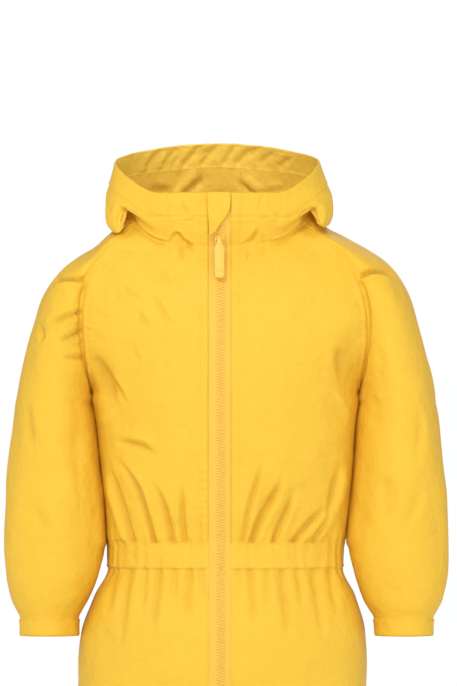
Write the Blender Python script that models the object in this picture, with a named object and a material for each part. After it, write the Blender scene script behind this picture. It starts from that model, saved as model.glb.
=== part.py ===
"""Child's hooded puddle suit, standing hollow as if it were worn.

Sizes are millimetres and become metres in one place, MM.
+X is the wearer's left, +Y the wearer's back, +Z up.
The origin is at the neck, midway between the shoulders.
"Right" and "left" are the wearer's.
"""
import math

import bpy
import numpy as np

MM = 0.001

# ---------------------------------------------------------------- driving sizes
WALL = 1.3               # one layer of coated cloth with its lining
HEM_WALL = 2.2           # a folded hem or casing
SEAM = 0.3               # space between two pieces at a seam
CORNER_FRONT = 65.0      # degrees round the neck to the front raglan seam
CORNER_BACK = 127.0      # degrees round the neck to the back raglan seam
CORNER_TOP = 92.0        # degrees round the neck to the outermost line of a sleeve
CENTRE_SEAM = 168.0      # degrees round the neck to the hood's centre piece
CENTRE_INNER = 174.0     # degrees to the column between that seam and the middle
ZIP_RIGHT = -14.0        # edge of the right front beside the zip
ZIP_LEFT = 9.0           # edge of the left front beside the zip
ZIP_END = -480.0         # lower end of the zip
CHAIN_RIGHT = -5.3       # right edge of the closed chain
CHAIN_LEFT = 3.3         # left edge of the closed chain
CHAIN_RISE = 0.7         # chain above the tapes
CHAIN_DEPTH = 2.6
ROUNDNESS = 0.92         # power of the trunk's rounded sections
WAIST_TOP = -321.0       # top edge of the waist casing
WAIST_LOW = -349.0       # bottom edge of the waist casing
WAIST_FOLDS_FRONT = 5    # gathers in each half of the front
WAIST_FOLDS_BACK = 7
WAIST_DEPTH = 3.6        # depth of the gathers at the casing
WAIST_REACH = 95.0       # how far the gathers run up and down from it
WAIST_PUFF = 2.2         # roll of the casing between its two seams
EDGE_FADE = 6.0          # gathers die out over one in this many of a row's ends
CUFF_FOLDS = 5
CUFF_DEPTH = 2.4
CUFF_REACH = 40.0
CUFF_TOP = -402.0        # where a sleeve meets its hem
CUFF_FADE = 5.0

FRONT_STEPS = 20         # columns in each front
BACK_STEPS = 28
ARM_STEPS = 20
RAGLAN_STEPS = 10        # rows from the neck to the underarm
SIDE_STEPS = 6           # rows from the underarm to the waist
CASING_STEPS = 2
HOOD_FRONT_STEPS = 7     # hood columns from the zip to the front raglan seam
HOOD_SHOULDER_STEPS = 6  # from there to the back raglan seam
HOOD_REAR_STEPS = 4      # from there to the centre piece
FRONT_DIP = (3.4, 1.2)   # how late a front's rows rise to the raglan seam, and its loss
BACK_DIP = 2.2
SLEEVE_TOP_Y = 3.0       # depth of a sleeve's outermost line
SLEEVE_TOP_HALF = 33.0   # half depth of a sleeve at the neck
SHARP = 50.0             # degrees between faces past which an edge is sharp
VALLEY = 0.92            # cosine past which a seam counts as a sharp valley

CLOTH = (0.95, 0.60, 0.06, 1.0)
TRIM = (0.93, 0.56, 0.05, 1.0)
CLOTH_ROUGHNESS = 0.55
SLIDER_ROUGHNESS = 0.4
TAB_ROUGHNESS = 0.5


def table(names, rows):
    """A table as a dictionary of columns."""
    columns = names.split()
    return {name: np.array([row[i] for row in rows], float) for i, name in enumerate(columns)}


# Trunk and legs by height: half width on each side, depth to the front and to
# the back, and how far each half's middle has moved out toward its leg.
TRUNK = table("z right left front back leg", (
    (31, 103, 103, 52, 58, 0),
    (-12, 120, 120, 62.5, 69, 0),
    (-40, 132, 134, 73, 76, 0),
    (-80, 142, 146, 84, 84, 0),
    (-130, 142, 148, 92, 89, 0),
    (-170, 136, 142.8, 94.5, 90, 0),
    (-185, 132.5, 140.5, 95, 90, 0),
    (-205, 130.3, 138.8, 95, 89, 0),
    (-240, 127.2, 137.2, 93, 87, 0),
    (-280, 122.6, 133.4, 90, 84, 0),
    (-321, 119.5, 128, 85, 80, 0),
    (-349, 119.5, 127.5, 85, 80, 0),
    (-378, 134, 140, 94, 90, 0),
    (-415, 147, 150, 98, 98, 4),
    (-450, 151, 152, 98, 101, 12),
    (-480, 152, 152, 96, 101, 28),
    (-502, 152, 152, 94, 100, 45),
    (-520, 151, 151, 92, 98, 59),
    (-534, 151, 151, 90, 96, 69),
    (-545, 150, 150, 88, 94, 75),
    (-565, 150, 150, 85, 90, 77.5),
    (-610, 148, 148, 80, 85, 79),
    (-680, 144, 144, 74, 78, 80),
    (-760, 139, 139, 67, 69, 80),
    (-835, 133, 133, 60, 61, 80),
    (-870, 124, 124, 47, 48, 80),
    (-885, 121, 121, 43, 44, 80),
    (-900, 121, 121, 43, 44, 80),
))

# Raglan seams from the neck corner to the underarm, and the outermost line of
# the sleeve beside each step of them.
RAGLAN_RIGHT = table("fx fy fz bx by bz mx mz half", (
    (-110, -38, -2, -100, 50, 14, -118, 3, 46),
    (-124, -44, -19, -112, 57, -3, -134, -14, 53),
    (-134.4, -48, -34.6, -122, 61, -20, -152, -24.5, 57),
    (-140.7, -51, -52.5, -130, 62, -40, -168, -37, 59.5),
    (-144.9, -52, -71.4, -136, 62, -61, -180, -50.5, 61),
    (-146, -51, -92.4, -140, 59, -84, -190, -69, 61.5),
    (-144.4, -46, -116.5, -141, 53, -108, -198, -93, 61.5),
    (-141.2, -36, -138.5, -140, 42, -133, -205.5, -118, 61),
    (-138.2, -21, -154, -138, 24, -154, -211, -144, 60),
    (-136, 2, -168, -136, 2, -168, -215, -168, 58.5),
))
RAGLAN_LEFT = table("fx fy fz bx by bz mx mz half", (
    (106, -38, 0, 97, 50, 15, 117, 4, 46),
    (119.7, -44, -13.6, 112, 57, -1, 136, -7, 53),
    (132.3, -48, -29, 124, 61, -17, 155, -17, 57),
    (141, -51, -46, 134, 62, -36, 171, -28, 59.5),
    (147.5, -52, -65, 141, 62, -57, 184, -43, 61),
    (151, -51, -86, 146, 59, -80, 195, -62, 61.5),
    (151.5, -46, -110, 148, 53, -105, 204.5, -88, 61.5),
    (148.7, -36, -134, 147, 42, -131, 212, -114, 61),
    (145.4, -21, -153, 145, 24, -153, 218, -141, 60),
    (142.8, 2, -168, 142.8, 2, -168, 222.5, -166, 58.5),
))

# Sleeve rings below the underarm.
ARM_RIGHT = table("z inner outer half middle", (
    (-176, -138.5, -216.5, 57.5, 2),
    (-192, -134.2, -218.5, 56, 1),
    (-215, -131, -221, 54, -1),
    (-245, -128, -224, 51, -4),
    (-282, -123.8, -226.6, 48, -6),
    (-321, -123.2, -228, 45, -8),
    (-355, -129, -226.5, 42, -10),
    (-382, -139.5, -221, 38, -12),
    (-402, -149, -213, 32, -13),
    (-421, -150, -212, 31, -14),
))
ARM_LEFT = table("z inner outer half middle", (
    (-176, 145.5, 223.5, 57.5, 2),
    (-192, 142.2, 227, 56, 1),
    (-215, 140, 230, 54, -1),
    (-245, 138.2, 233, 51, -4),
    (-282, 134.6, 236, 48, -6),
    (-321, 132.6, 238.3, 45, -8),
    (-355, 138.5, 237, 42, -10),
    (-382, 148, 231, 38, -12),
    (-402, 158, 222, 32, -13),
    (-421, 159, 221, 31, -14),
))
ARM_ROWS = (-176, -192, -215, -245, -282, -321, -352, -380, -402)
ARM_HEM_ROWS = (-402, -411, -420)

# Rings of the hood from the neck seam to the edge of the face opening.
# z0 to z180 are heights at that many degrees round from the front.
HOOD_ANGLES = (0, 35, 60, 75, 90, 120, 135, 150, 180)
HOOD = table("middle half front back z0 z35 z60 z75 z90 z120 z135 z150 z180", (
    (-3.5, 100, 62, 58, -12.5, -7, 12, 21, 25, 29, 30.5, 31, 31),
    (-3.5, 103, 63, 64, -9, -3, 17.5, 26, 30, 35, 37, 38, 38),
    (-3.5, 108.5, 65, 84, -4, 3, 25, 26, 29, 31, 18, -10, -30),
    (-3.5, 114, 67, 110, 4, 8, 26, 14, 20, 26, -30, -80, -98),
    (-3.5, 118.5, 68, 134, 11, 13, 28, 21, 29, 26, -8, -38, -52),
    (-3.5, 118.5, 69, 137, 15, 17, 32, 36, 41, 40, 31, 22, 14),
    (-4, 114.5, 69, 127, 18, 19, 37, 47, 52.5, 61, 66, 69.5, 74),
    (-5, 107, 68, 117, 43.8, 43.8, 59.5, 70, 76.5, 86.5, 91, 95.3, 99.5),
))
HOOD_RING_STEPS = (1, 2, 3, 2, 2, 2, 2)  # rows between one ring and the next
BAND_STEPS = 2                           # of those, the rows of the hem band

ZIP_TROUSER_ROWS = 4                     # trouser rows down to the end of the zip

# Guard over the top of the zip: its two edges from the hood's edge down.
GUARD = table("right left zr zl", (
    (-15.2, 8.6, 43.4, 43.4),
    (-15.2, 8.6, 36, 37),
    (-15.0, 8.0, 27, 29),
    (-14.7, 4.8, 18, 21),
    (-14.2, 1.6, 10, 14),
    (-13.4, -0.6, 3.5, 8.5),
))
GUARD_STEPS = 4
GUARD_LIFT = 2.9
GUARD_WALL = 1.0

# Slider and pull tab, in their own frame: x across, out from the cloth, z down
# from the hinge.
HINGE_X = -2.6
HINGE_Z = -5.0
HINGE_OUT = 5.6          # hinge line in front of the cloth
SLIDER_HALF = 9.0        # half the length over which the slider takes its slope
SLIDER_X = (-5.4, -4.4, -2.9, 2.9, 4.4, 5.4)  # plate, lugs and the gap between them
SLIDER_OUT = (1.2, 3.3, 7.0)                  # plate's two faces and the lugs' fronts
SLIDER_Z = (-6.5, -2.2, 2.6, 6.0)             # plate's ends and the lugs' ends
TAB_LEAN = 16.0          # degrees forward of plumb, just clear of the chest
TAB_THICK = 2.2
TAB_OUTLINE = table("half z", (
    (1.9, 1.1),
    (2.5, 0.2),
    (2.5, -5.0),
    (4.6, -7.5),
    (5.2, -10.0),
    (5.2, -39.0),
    (4.4, -41.6),
    (2.6, -42.6),
))

TROUSER_ROWS = (-349, -378, -415, -480, -483, -512, -532, -545, -565, -620, -700, -790, -870)
ANKLE_ROWS = (-870, -878, -886)


def curve(xs, ys, q):
    """Smooth line through a table's points, without overshoot."""
    order = np.argsort(xs)
    x = np.asarray(xs, float)[order]
    y = np.asarray(ys, float)[order]
    h = np.diff(x)
    d = np.diff(y) / h
    m = np.zeros_like(y)
    m[0] = d[0]
    m[-1] = d[-1]
    for i in range(1, len(x) - 1):
        if d[i - 1] * d[i] > 0:
            w1 = 2 * h[i] + h[i - 1]
            w2 = h[i] + 2 * h[i - 1]
            m[i] = (w1 + w2) / (w1 / d[i - 1] + w2 / d[i])
    q = np.clip(np.asarray(q, float), x[0], x[-1])
    k = np.clip(np.searchsorted(x, q, side="right") - 1, 0, len(x) - 2)
    t = (q - x[k]) / h[k]
    t2 = t * t
    t3 = t2 * t
    near = (2 * t3 - 3 * t2 + 1) * y[k] + (t3 - 2 * t2 + t) * h[k] * m[k]
    far = (3 * t2 - 2 * t3) * y[k + 1] + (t3 - t2) * h[k] * m[k + 1]
    return near + far


def trunk(name, z):
    """One column of the trunk's table at a height."""
    return curve(TRUNK["z"], TRUNK[name], z)


def side_name(side):
    return "right" if side < 0 else "left"


def zip_edge(side):
    return ZIP_RIGHT if side < 0 else ZIP_LEFT


# ---------------------------------------------------------------- hood
def hood_ring_z(ring, degrees):
    heights = [HOOD["z%d" % angle][ring] for angle in HOOD_ANGLES]
    angles = (-HOOD_ANGLES[1],) + HOOD_ANGLES + (360 - HOOD_ANGLES[-2],)
    heights = [heights[1]] + heights + [heights[-2]]
    return curve(angles, heights, abs(degrees))


def hood_ring_point(ring, degrees):
    """A point of one hood ring; negative angles are on the wearer's right."""
    a = math.radians(degrees)
    x = HOOD["middle"][ring] + HOOD["half"][ring] * math.sin(a)
    reach = -HOOD["front"][ring] if math.cos(a) > 0 else HOOD["back"][ring]
    return np.array((x, reach * abs(math.cos(a)), float(hood_ring_z(ring, degrees))))


def hood_rows():
    """Places of the hood's rows, counted in rings."""
    rows = [0.0]
    for ring, steps in enumerate(HOOD_RING_STEPS):
        rows += [ring + (i + 1) / steps for i in range(steps)]
    return rows


def hood_line(degrees_of_ring):
    """One line of the hood from the neck to the face edge, as smooth rows."""
    rings = len(HOOD["half"])
    points = np.array([hood_ring_point(r, degrees_of_ring(r)) for r in range(rings)])
    span = np.concatenate(([0.0], np.cumsum(np.linalg.norm(np.diff(points, axis=0), axis=1))))
    rows = hood_rows()
    at = np.interp(rows, range(rings), span)
    return np.stack([spline(span, points[:, i], at) for i in range(3)], axis=1)


def spline(xs, ys, q):
    """Rounded line through points, with the slope of the points on each side."""
    slopes = np.gradient(ys, xs)
    k = np.clip(np.searchsorted(xs, q, side="right") - 1, 0, len(xs) - 2)
    h = xs[k + 1] - xs[k]
    t = (q - xs[k]) / h
    near = (2 * t ** 3 - 3 * t ** 2 + 1) * ys[k] + (t ** 3 - 2 * t ** 2 + t) * h * slopes[k]
    far = (3 * t ** 2 - 2 * t ** 3) * ys[k + 1] + (t ** 3 - t ** 2) * h * slopes[k + 1]
    return near + far


def zip_angle(ring, side):
    """Angle at which a hood ring meets the edge beside the zip."""
    reach = (zip_edge(side) - HOOD["middle"][ring]) / HOOD["half"][ring]
    return math.degrees(math.asin(reach))


def hood_columns():
    """Angles of the hood's columns as (angle, share of the zip edge's shift)."""
    def half(side):
        edge = zip_angle(0, side)
        columns = []
        for i in range(HOOD_FRONT_STEPS):
            share = i / HOOD_FRONT_STEPS
            columns.append((edge + (side * CORNER_FRONT - edge) * share, 1 - share))
        for i in range(HOOD_SHOULDER_STEPS):
            share = i / HOOD_SHOULDER_STEPS
            columns.append((side * (CORNER_FRONT + (CORNER_BACK - CORNER_FRONT) * share), 0))
        for i in range(HOOD_REAR_STEPS):
            share = i / HOOD_REAR_STEPS
            columns.append((side * (CORNER_BACK + (CENTRE_SEAM - CORNER_BACK) * share), 0))
        return columns
    middle = [(-CENTRE_SEAM, 0), (-CENTRE_INNER, 0), (180.0, 0), (CENTRE_INNER, 0),
              (CENTRE_SEAM, 0)]
    return half(-1) + middle + half(1)[::-1]


def hood_grid():
    """The whole hood: rows from the neck seam up, columns from the right of
    the zip round the back to its left."""
    lines = []
    for angle, share in hood_columns():
        side = -1 if angle < 0 else 1
        start = zip_angle(0, side)

        def at(ring, angle=angle, share=share, side=side, start=start):
            return angle + share * (zip_angle(ring, side) - start)
        lines.append(hood_line(at))
    return np.stack(lines, axis=1)


HOOD_GRID = hood_grid()
NECK_ANGLES = np.array([angle % 360 for angle, share in hood_columns()])
NECK_POINTS = HOOD_GRID[0]


def neck_point(angle):
    """A point of the neck seam on the line that the hood's columns make."""
    turned = (angle - NECK_ANGLES[0]) % 360
    places = (NECK_ANGLES - NECK_ANGLES[0]) % 360
    if turned > 359.999:
        turned = 0.0  # rounding took it just short of a full turn
    order = np.argsort(places)
    return np.array([np.interp(turned, places[order], NECK_POINTS[order, i]) for i in range(3)])


# ---------------------------------------------------------------- raglan lines
def raglan(side, part, step):
    """Front seam, back seam or outer line at a step down from the neck."""
    rows = RAGLAN_RIGHT if side < 0 else RAGLAN_LEFT
    t = step * len(rows["fx"]) / RAGLAN_STEPS
    start = {
        "f": neck_point(side * CORNER_FRONT),
        "b": neck_point(side * CORNER_BACK),
        "m": neck_point(side * CORNER_TOP),
    }[part]
    places = np.arange(len(rows["fx"]) + 1)
    if part == "m":
        xs = np.concatenate(([start[0]], rows["mx"]))
        zs = np.concatenate(([start[2]], rows["mz"]))
        return np.array((curve(places, xs, t), SLEEVE_TOP_Y, curve(places, zs, t)))
    values = [np.concatenate(([start[i]], rows[part + "xyz"[i]])) for i in range(3)]
    return np.array([float(curve(places, v, t)) for v in values])


def raglan_half(side, step):
    rows = RAGLAN_RIGHT if side < 0 else RAGLAN_LEFT
    places = np.arange(len(rows["fx"]) + 1)
    halves = np.concatenate(([SLEEVE_TOP_HALF], rows["half"]))
    return float(curve(places, halves, step * len(rows["fx"]) / RAGLAN_STEPS))


# ---------------------------------------------------------------- gathers
def gather(u, folds, lean=0.0):
    """Uneven rounded waves: folds of them between u = 0 and u = 1."""
    phase = u * folds + lean
    uneven = 0.78 + 0.22 * math.sin(2.3 * phase + 1.1)
    return uneven * math.cos(2 * math.pi * phase)


def waist_rise(z):
    """Strength of the waist gathers at a height."""
    if z > WAIST_TOP:
        far = (z - WAIST_TOP) / WAIST_REACH
    elif z < WAIST_LOW:
        far = (WAIST_LOW - z) / WAIST_REACH
    else:
        far = 0.0
    return max(0.0, 1.0 - far) ** 1.5


def puff(z):
    """The casing rolls out a little between its two seams."""
    if WAIST_LOW < z < WAIST_TOP:
        return WAIST_PUFF
    return 0.0


# ---------------------------------------------------------------- trunk and legs
def shaped(value, power):
    return math.copysign(abs(value) ** power, value)


def section(side, front, z, ends, steps, row_z, folds):
    """One row of a trunk panel, from its middle edge to its side seam.

    ends is the x of the middle edge and the point of the side edge, or None
    for a side seam. row_z gives the height at a share of the row.
    """
    middle_x, edge = ends
    leg = float(trunk("leg", z))
    wide = float(trunk(side_name(side), z)) - leg
    depth_name = "front" if front else "back"
    end_angle = 0.0
    if edge is not None:
        edge_depth = float(trunk(depth_name, edge[2]))
        end_angle = math.asin(min(0.999, (abs(edge[1]) / edge_depth) ** (1 / ROUNDNESS)))
        wide = abs(edge[0]) / math.cos(end_angle) ** ROUNDNESS
    start = abs(middle_x) - leg if side * middle_x > 0 else -leg
    start = max(-1.0, min(1.0, start / wide))
    start_angle = math.acos(shaped(start, 1 / ROUNDNESS))
    points = []
    for i in range(steps + 1):
        u = i / steps
        angle = start_angle + (end_angle - start_angle) * u
        height = row_z(u)
        depth = float(trunk(depth_name, height))
        x = leg + wide * shaped(math.cos(angle), ROUNDNESS)
        y = depth * shaped(math.sin(angle), ROUNDNESS) * (-1 if front else 1)
        away = math.hypot(x, y)
        fade = min(1.0, EDGE_FADE * u, EDGE_FADE * (1 - u))
        move = WAIST_DEPTH * waist_rise(height) * gather(u, folds) * fade + puff(height)
        points.append((side * x * (1 + move / away), y * (1 + move / away), height))
    return points


def body_heights():
    """Heights of the side seam's rows from the underarm to the waist."""
    drop = RAGLAN_LEFT["fz"][-1]
    share = [(i / SIDE_STEPS) ** 0.9 for i in range(1, SIDE_STEPS + 1)]
    return [drop + (WAIST_TOP - drop) * s for s in share]


def front_middle_heights():
    """Heights of the front edge's rows beside the zip."""
    top = HOOD["z0"][0] + 0.2
    side_end = RAGLAN_LEFT["fz"][-1]
    return [top + (side_end - top) * (j / RAGLAN_STEPS) for j in range(RAGLAN_STEPS + 1)]


def front_grid(side):
    """Body front: rows from the neck seam to the waist casing."""
    rows = []
    edge_angle = zip_angle(0, side)
    top = []
    for i in range(FRONT_STEPS + 1):
        angle = edge_angle + (side * CORNER_FRONT - edge_angle) * i / FRONT_STEPS
        top.append(neck_point(angle))
    rows.append(top)
    middle = front_middle_heights()
    for j in range(1, RAGLAN_STEPS + 1):
        edge = raglan(side, "f", j)
        rise = FRONT_DIP[0] - FRONT_DIP[1] * j / RAGLAN_STEPS

        def row_z(u, edge=edge, j=j, rise=rise):
            return middle[j] + (edge[2] - middle[j]) * u ** rise
        row = section(side, True, middle[j], (zip_edge(side), edge), FRONT_STEPS, row_z, 0)
        row[-1] = tuple(edge)
        rows.append(row)
    for z in body_heights():
        rows.append(section(side, True, z, (zip_edge(side), None), FRONT_STEPS,
                            lambda u, z=z: z, WAIST_FOLDS_FRONT))
    return np.array(rows)


def back_half(side):
    """Half of the body back, columns from the middle to the side."""
    half_steps = BACK_STEPS // 2
    rows = []
    top = []
    for i in range(half_steps + 1):
        angle = side * (180.0 - (180.0 - CORNER_BACK) * i / half_steps)
        top.append(neck_point(angle))
    rows.append(top)
    edge_low = RAGLAN_LEFT["bz"][-1]
    nape = HOOD["z180"][0]
    for j in range(1, RAGLAN_STEPS + 1):
        edge = raglan(side, "b", j)
        middle = nape + (edge_low - nape) * j / RAGLAN_STEPS

        def row_z(u, edge=edge, middle=middle):
            return middle + (edge[2] - middle) * u ** BACK_DIP
        row = section(side, False, middle, (0.0, edge), half_steps, row_z, 0)
        row[-1] = tuple(edge)
        rows.append(row)
    for z in body_heights():
        rows.append(section(side, False, z, (0.0, None), half_steps,
                            lambda u, z=z: z, WAIST_FOLDS_BACK / 2))
    return np.array(rows)


def back_grid():
    """Body back in one piece, columns from the right side to the left side."""
    right = back_half(-1)[:, ::-1]
    left = back_half(1)
    return np.concatenate((right, left[:, 1:]), axis=1)


def lower_rows(side, front, heights):
    """Rows of a panel below the waist's top edge."""
    steps = FRONT_STEPS if front else BACK_STEPS // 2
    folds = WAIST_FOLDS_FRONT if front else WAIST_FOLDS_BACK / 2
    rows = []
    for z in heights:
        middle_x = zip_edge(side) if front and z >= ZIP_END else 0.0
        row = section(side, front, z, (middle_x, None), steps, lambda u, z=z: z, folds)
        rows.append(row)
    return np.array(rows)


def casing_grid():
    """Waist casing: from the right of the zip round the back to its left."""
    heights = [WAIST_TOP + (WAIST_LOW - WAIST_TOP) * i / CASING_STEPS
               for i in range(CASING_STEPS + 1)]
    right_front = lower_rows(-1, True, heights)
    right_back = lower_rows(-1, False, heights)[:, ::-1]
    left_back = lower_rows(1, False, heights)
    left_front = lower_rows(1, True, heights)[:, ::-1]
    return np.concatenate((right_front, right_back[:, 1:], left_back[:, 1:], left_front[:, 1:]),
                          axis=1)


# ---------------------------------------------------------------- sleeves
def arm_arc(front, back, outer, half):
    """Row of the sleeve from the front seam over the outside to the back seam."""
    gap = np.linalg.norm(front - back) / 2
    opening = math.acos(min(1.0, gap / half))
    middle = (front + back) / 2
    out = (outer - middle) / (1 + math.sin(opening))
    centre = outer - out
    across = (front - back) / 2
    if gap > 4.0:
        across = across / math.cos(opening)
    else:
        across = np.array((0.0, -half, 0.0))
    points = []
    for i in range(ARM_STEPS + 1):
        angle = -opening + (math.pi + 2 * opening) * i / ARM_STEPS
        points.append(centre + across * math.cos(angle) + out * math.sin(angle))
    return points


def arm_ring(side, z):
    rows = ARM_RIGHT if side < 0 else ARM_LEFT
    inner = float(curve(rows["z"], rows["inner"], z))
    outer = float(curve(rows["z"], rows["outer"], z))
    half = float(curve(rows["z"], rows["half"], z))
    middle = float(curve(rows["z"], rows["middle"], z))
    seam = np.array((inner, middle, z))
    far = np.array((outer, middle, z))
    strength = max(0.0, 1 - max(0.0, z - CUFF_TOP) / CUFF_REACH) ** 1.4
    ring = []
    for i, point in enumerate(arm_arc(seam, seam, far, half)):
        centre = (seam + far) / 2
        away = point - centre
        u = i / ARM_STEPS
        fade = min(1.0, CUFF_FADE * u, CUFF_FADE * (1 - u))
        move = CUFF_DEPTH * strength * fade * gather(u, CUFF_FOLDS)
        ring.append(point + away / np.linalg.norm(away) * move)
    return ring


def sleeve_grid(side):
    """Sleeve: rows from the neck seam to the hem."""
    top = []
    for i in range(ARM_STEPS + 1):
        angle = side * (CORNER_FRONT + (CORNER_BACK - CORNER_FRONT) * i / ARM_STEPS)
        top.append(neck_point(angle))
    rows = [top]
    for j in range(1, RAGLAN_STEPS + 1):
        rows.append(arm_arc(raglan(side, "f", j), raglan(side, "b", j),
                            raglan(side, "m", j), raglan_half(side, j)))
        rows[-1][0] = raglan(side, "f", j)
        rows[-1][-1] = raglan(side, "b", j)
    for z in ARM_ROWS:
        rows.append(arm_ring(side, z))
    return np.array(rows)


# ---------------------------------------------------------------- zip
def zip_field(fronts, casing, trousers):
    """Right and left edges of the space for the zip, from the hood's edge down."""
    right = list(HOOD_GRID[::-1, 0]) + list(fronts[-1][1:, 0])
    left = list(HOOD_GRID[::-1, -1]) + list(fronts[1][1:, 0])
    right += list(casing[1:, 0]) + list(trousers[-1][1:ZIP_TROUSER_ROWS, 0])
    left += list(casing[1:, -1]) + list(trousers[1][1:ZIP_TROUSER_ROWS, 0])
    return np.array(right), np.array(left)


def zip_strip(edges, x_from, x_to):
    """A strip of the zip between two distances across it."""
    right, left = edges
    width = ZIP_LEFT - ZIP_RIGHT
    shares = [(x - ZIP_RIGHT) / width for x in (x_from, x_to)]
    return np.stack([right + (left - right) * s for s in shares], axis=1)


def zip_depth(z):
    """How far forward the zip lies at a height, from the hood's edge to the chest."""
    low = np.arange(-40.0, -81.0, -20.0)
    heights = np.concatenate((HOOD_GRID[::-1, 0, 2], low))
    depths = np.concatenate((-HOOD_GRID[::-1, 0, 1], trunk("front", low)))
    return -float(curve(-heights, depths, -z))


def guard_grid():
    """Cloth guard folded over the top of the zip."""
    rows = []
    edges = (GUARD["right"], GUARD["left"], GUARD["zr"], GUARD["zl"])
    for right, left, right_z, left_z in zip(*edges):
        row = []
        for i in range(GUARD_STEPS + 1):
            u = i / GUARD_STEPS
            z = right_z + (left_z - right_z) * u
            row.append((right + (left - right) * u, zip_depth(z), z))
        rows.append(row)
    return np.array(rows)


# ---------------------------------------------------------------- walls
PANELS = {}      # name: grid, thickness, lift, whether its outside is flipped


def key(point):
    return tuple(int(round(v * 1000)) for v in point)


def add_panel(name, grid, thick=WALL, flip=False, lift=0.0):
    PANELS[name] = (np.asarray(grid, float), thick, flip, lift)


def face_normals(grid, flip):
    across = grid[:-1, 1:] - grid[1:, :-1]
    down = grid[1:, 1:] - grid[:-1, :-1]
    normal = np.cross(across, down)
    return -normal if flip else normal


def shared_normals():
    """Outward directions shared by all panels that meet at a point."""
    total = {}
    for grid, thick, flip, lift in PANELS.values():
        normal = face_normals(grid, flip)
        rows, columns = grid.shape[:2]
        for r in range(rows - 1):
            for c in range(columns - 1):
                size = np.linalg.norm(normal[r, c])
                if size < 1e-9:
                    continue
                for corner in (grid[r, c], grid[r + 1, c], grid[r, c + 1], grid[r + 1, c + 1]):
                    where = key(corner)
                    total[where] = total.get(where, np.zeros(3)) + normal[r, c] / size ** 0.5
    return {where: value / max(1e-9, np.linalg.norm(value)) for where, value in total.items()}


def guard_normals():
    grid = PANELS["zip_guard"][0]
    own = own_normals(grid, True)
    return {key(grid[r, c]): own[r, c] for r in range(grid.shape[0]) for c in range(grid.shape[1])}


def inset(grid, shared, gap):
    """The grid with each edge moved half a seam off the plane that it would
    share with the piece beyond it."""
    moved = grid.copy()

    def pull(line, inner, outward):
        step = inner - line
        tangent = np.gradient(line, axis=0)
        tangent /= np.maximum(1e-9, np.linalg.norm(tangent, axis=1))[:, None]
        step -= (step * tangent).sum(axis=1)[:, None] * tangent
        step /= np.maximum(1e-9, np.linalg.norm(step, axis=1))[:, None]
        step -= (step * outward).sum(axis=1)[:, None] * outward
        step /= np.maximum(1e-9, np.linalg.norm(step, axis=1))[:, None]
        return step * gap / 2
    moved[0] += pull(grid[0], grid[1], shared[0])
    moved[-1] += pull(grid[-1], grid[-2], shared[-1])
    moved[:, 0] += pull(grid[:, 0], grid[:, 1], shared[:, 0])
    moved[:, -1] += pull(grid[:, -1], grid[:, -2], shared[:, -1])
    return moved


def lean_from_valleys(grid, own, shared):
    """Where two pieces meet in a sharp valley, each wall's direction leans
    halfway back to its own, so that its edge keeps its thickness."""
    into = np.zeros_like(grid)
    into[0] += grid[1] - grid[0]
    into[-1] += grid[-2] - grid[-1]
    into[:, 0] += grid[:, 1] - grid[:, 0]
    into[:, -1] += grid[:, -2] - grid[:, -1]
    valley = ((into * shared).sum(axis=2) > 0) & ((own * shared).sum(axis=2) < VALLEY)
    leaned = own + shared
    leaned /= np.maximum(1e-9, np.linalg.norm(leaned, axis=2))[:, :, None]
    return np.where(valley[:, :, None], leaned, shared)


def own_normals(grid, flip):
    rows, columns = grid.shape[:2]
    total = np.zeros_like(grid)
    normal = face_normals(grid, flip)
    normal /= np.maximum(1e-9, np.linalg.norm(normal, axis=2))[:, :, None]
    for dr in (0, 1):
        for dc in (0, 1):
            total[dr:rows - 1 + dr, dc:columns - 1 + dc] += normal
    return total / np.maximum(1e-9, np.linalg.norm(total, axis=2))[:, :, None]


def wall(name, normals, colour, roughness):
    """Turns a panel's grid into a closed wall of its thickness."""
    grid, thick, flip, lift = PANELS[name]
    rows, columns = grid.shape[:2]
    own = own_normals(grid, flip)
    shared = np.array([[normals[key(grid[r, c])] for c in range(columns)] for r in range(rows)])
    outer = inset(grid, shared, SEAM)
    shared = lean_from_valleys(grid, own, shared)
    square = np.clip((own * shared).sum(axis=2), 0.6, 1.0)[:, :, None]
    outer = outer + shared * lift / square
    inner = outer - shared * thick / square
    points = [tuple(p * MM) for p in np.concatenate((outer.reshape(-1, 3), inner.reshape(-1, 3)))]
    count = rows * columns
    faces = []

    def at(r, c, layer):
        return layer * count + r * columns + c
    for r in range(rows - 1):
        for c in range(columns - 1):
            faces.append((at(r, c, 0), at(r, c + 1, 0), at(r + 1, c + 1, 0), at(r + 1, c, 0)))
            faces.append((at(r, c, 1), at(r + 1, c, 1), at(r + 1, c + 1, 1), at(r, c + 1, 1)))
    for r in range(rows - 1):
        faces.append((at(r, 0, 0), at(r + 1, 0, 0), at(r + 1, 0, 1), at(r, 0, 1)))
        last = columns - 1
        faces.append((at(r, last, 0), at(r, last, 1), at(r + 1, last, 1), at(r + 1, last, 0)))
    for c in range(columns - 1):
        faces.append((at(0, c, 0), at(0, c, 1), at(0, c + 1, 1), at(0, c + 1, 0)))
        last = rows - 1
        faces.append((at(last, c, 0), at(last, c + 1, 0), at(last, c + 1, 1), at(last, c, 1)))
    if flip:
        faces = [face[::-1] for face in faces]
    make_object(name, points, faces, colour, roughness)


def make_object(name, points, faces, colour, roughness):
    mesh = bpy.data.meshes.new(name)
    mesh.from_pydata(points, [], faces)
    mesh.update()
    mesh.shade_smooth()
    mesh.set_sharp_from_angle(angle=math.radians(SHARP))
    thing = bpy.data.objects.new(name, mesh)
    bpy.context.scene.collection.objects.link(thing)
    material = bpy.data.materials.new(name)
    material.use_nodes = True
    shader = material.node_tree.nodes["Principled BSDF"]
    shader.inputs["Base Color"].default_value = colour
    shader.inputs["Roughness"].default_value = roughness
    mesh.materials.append(material)
    return thing


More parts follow.
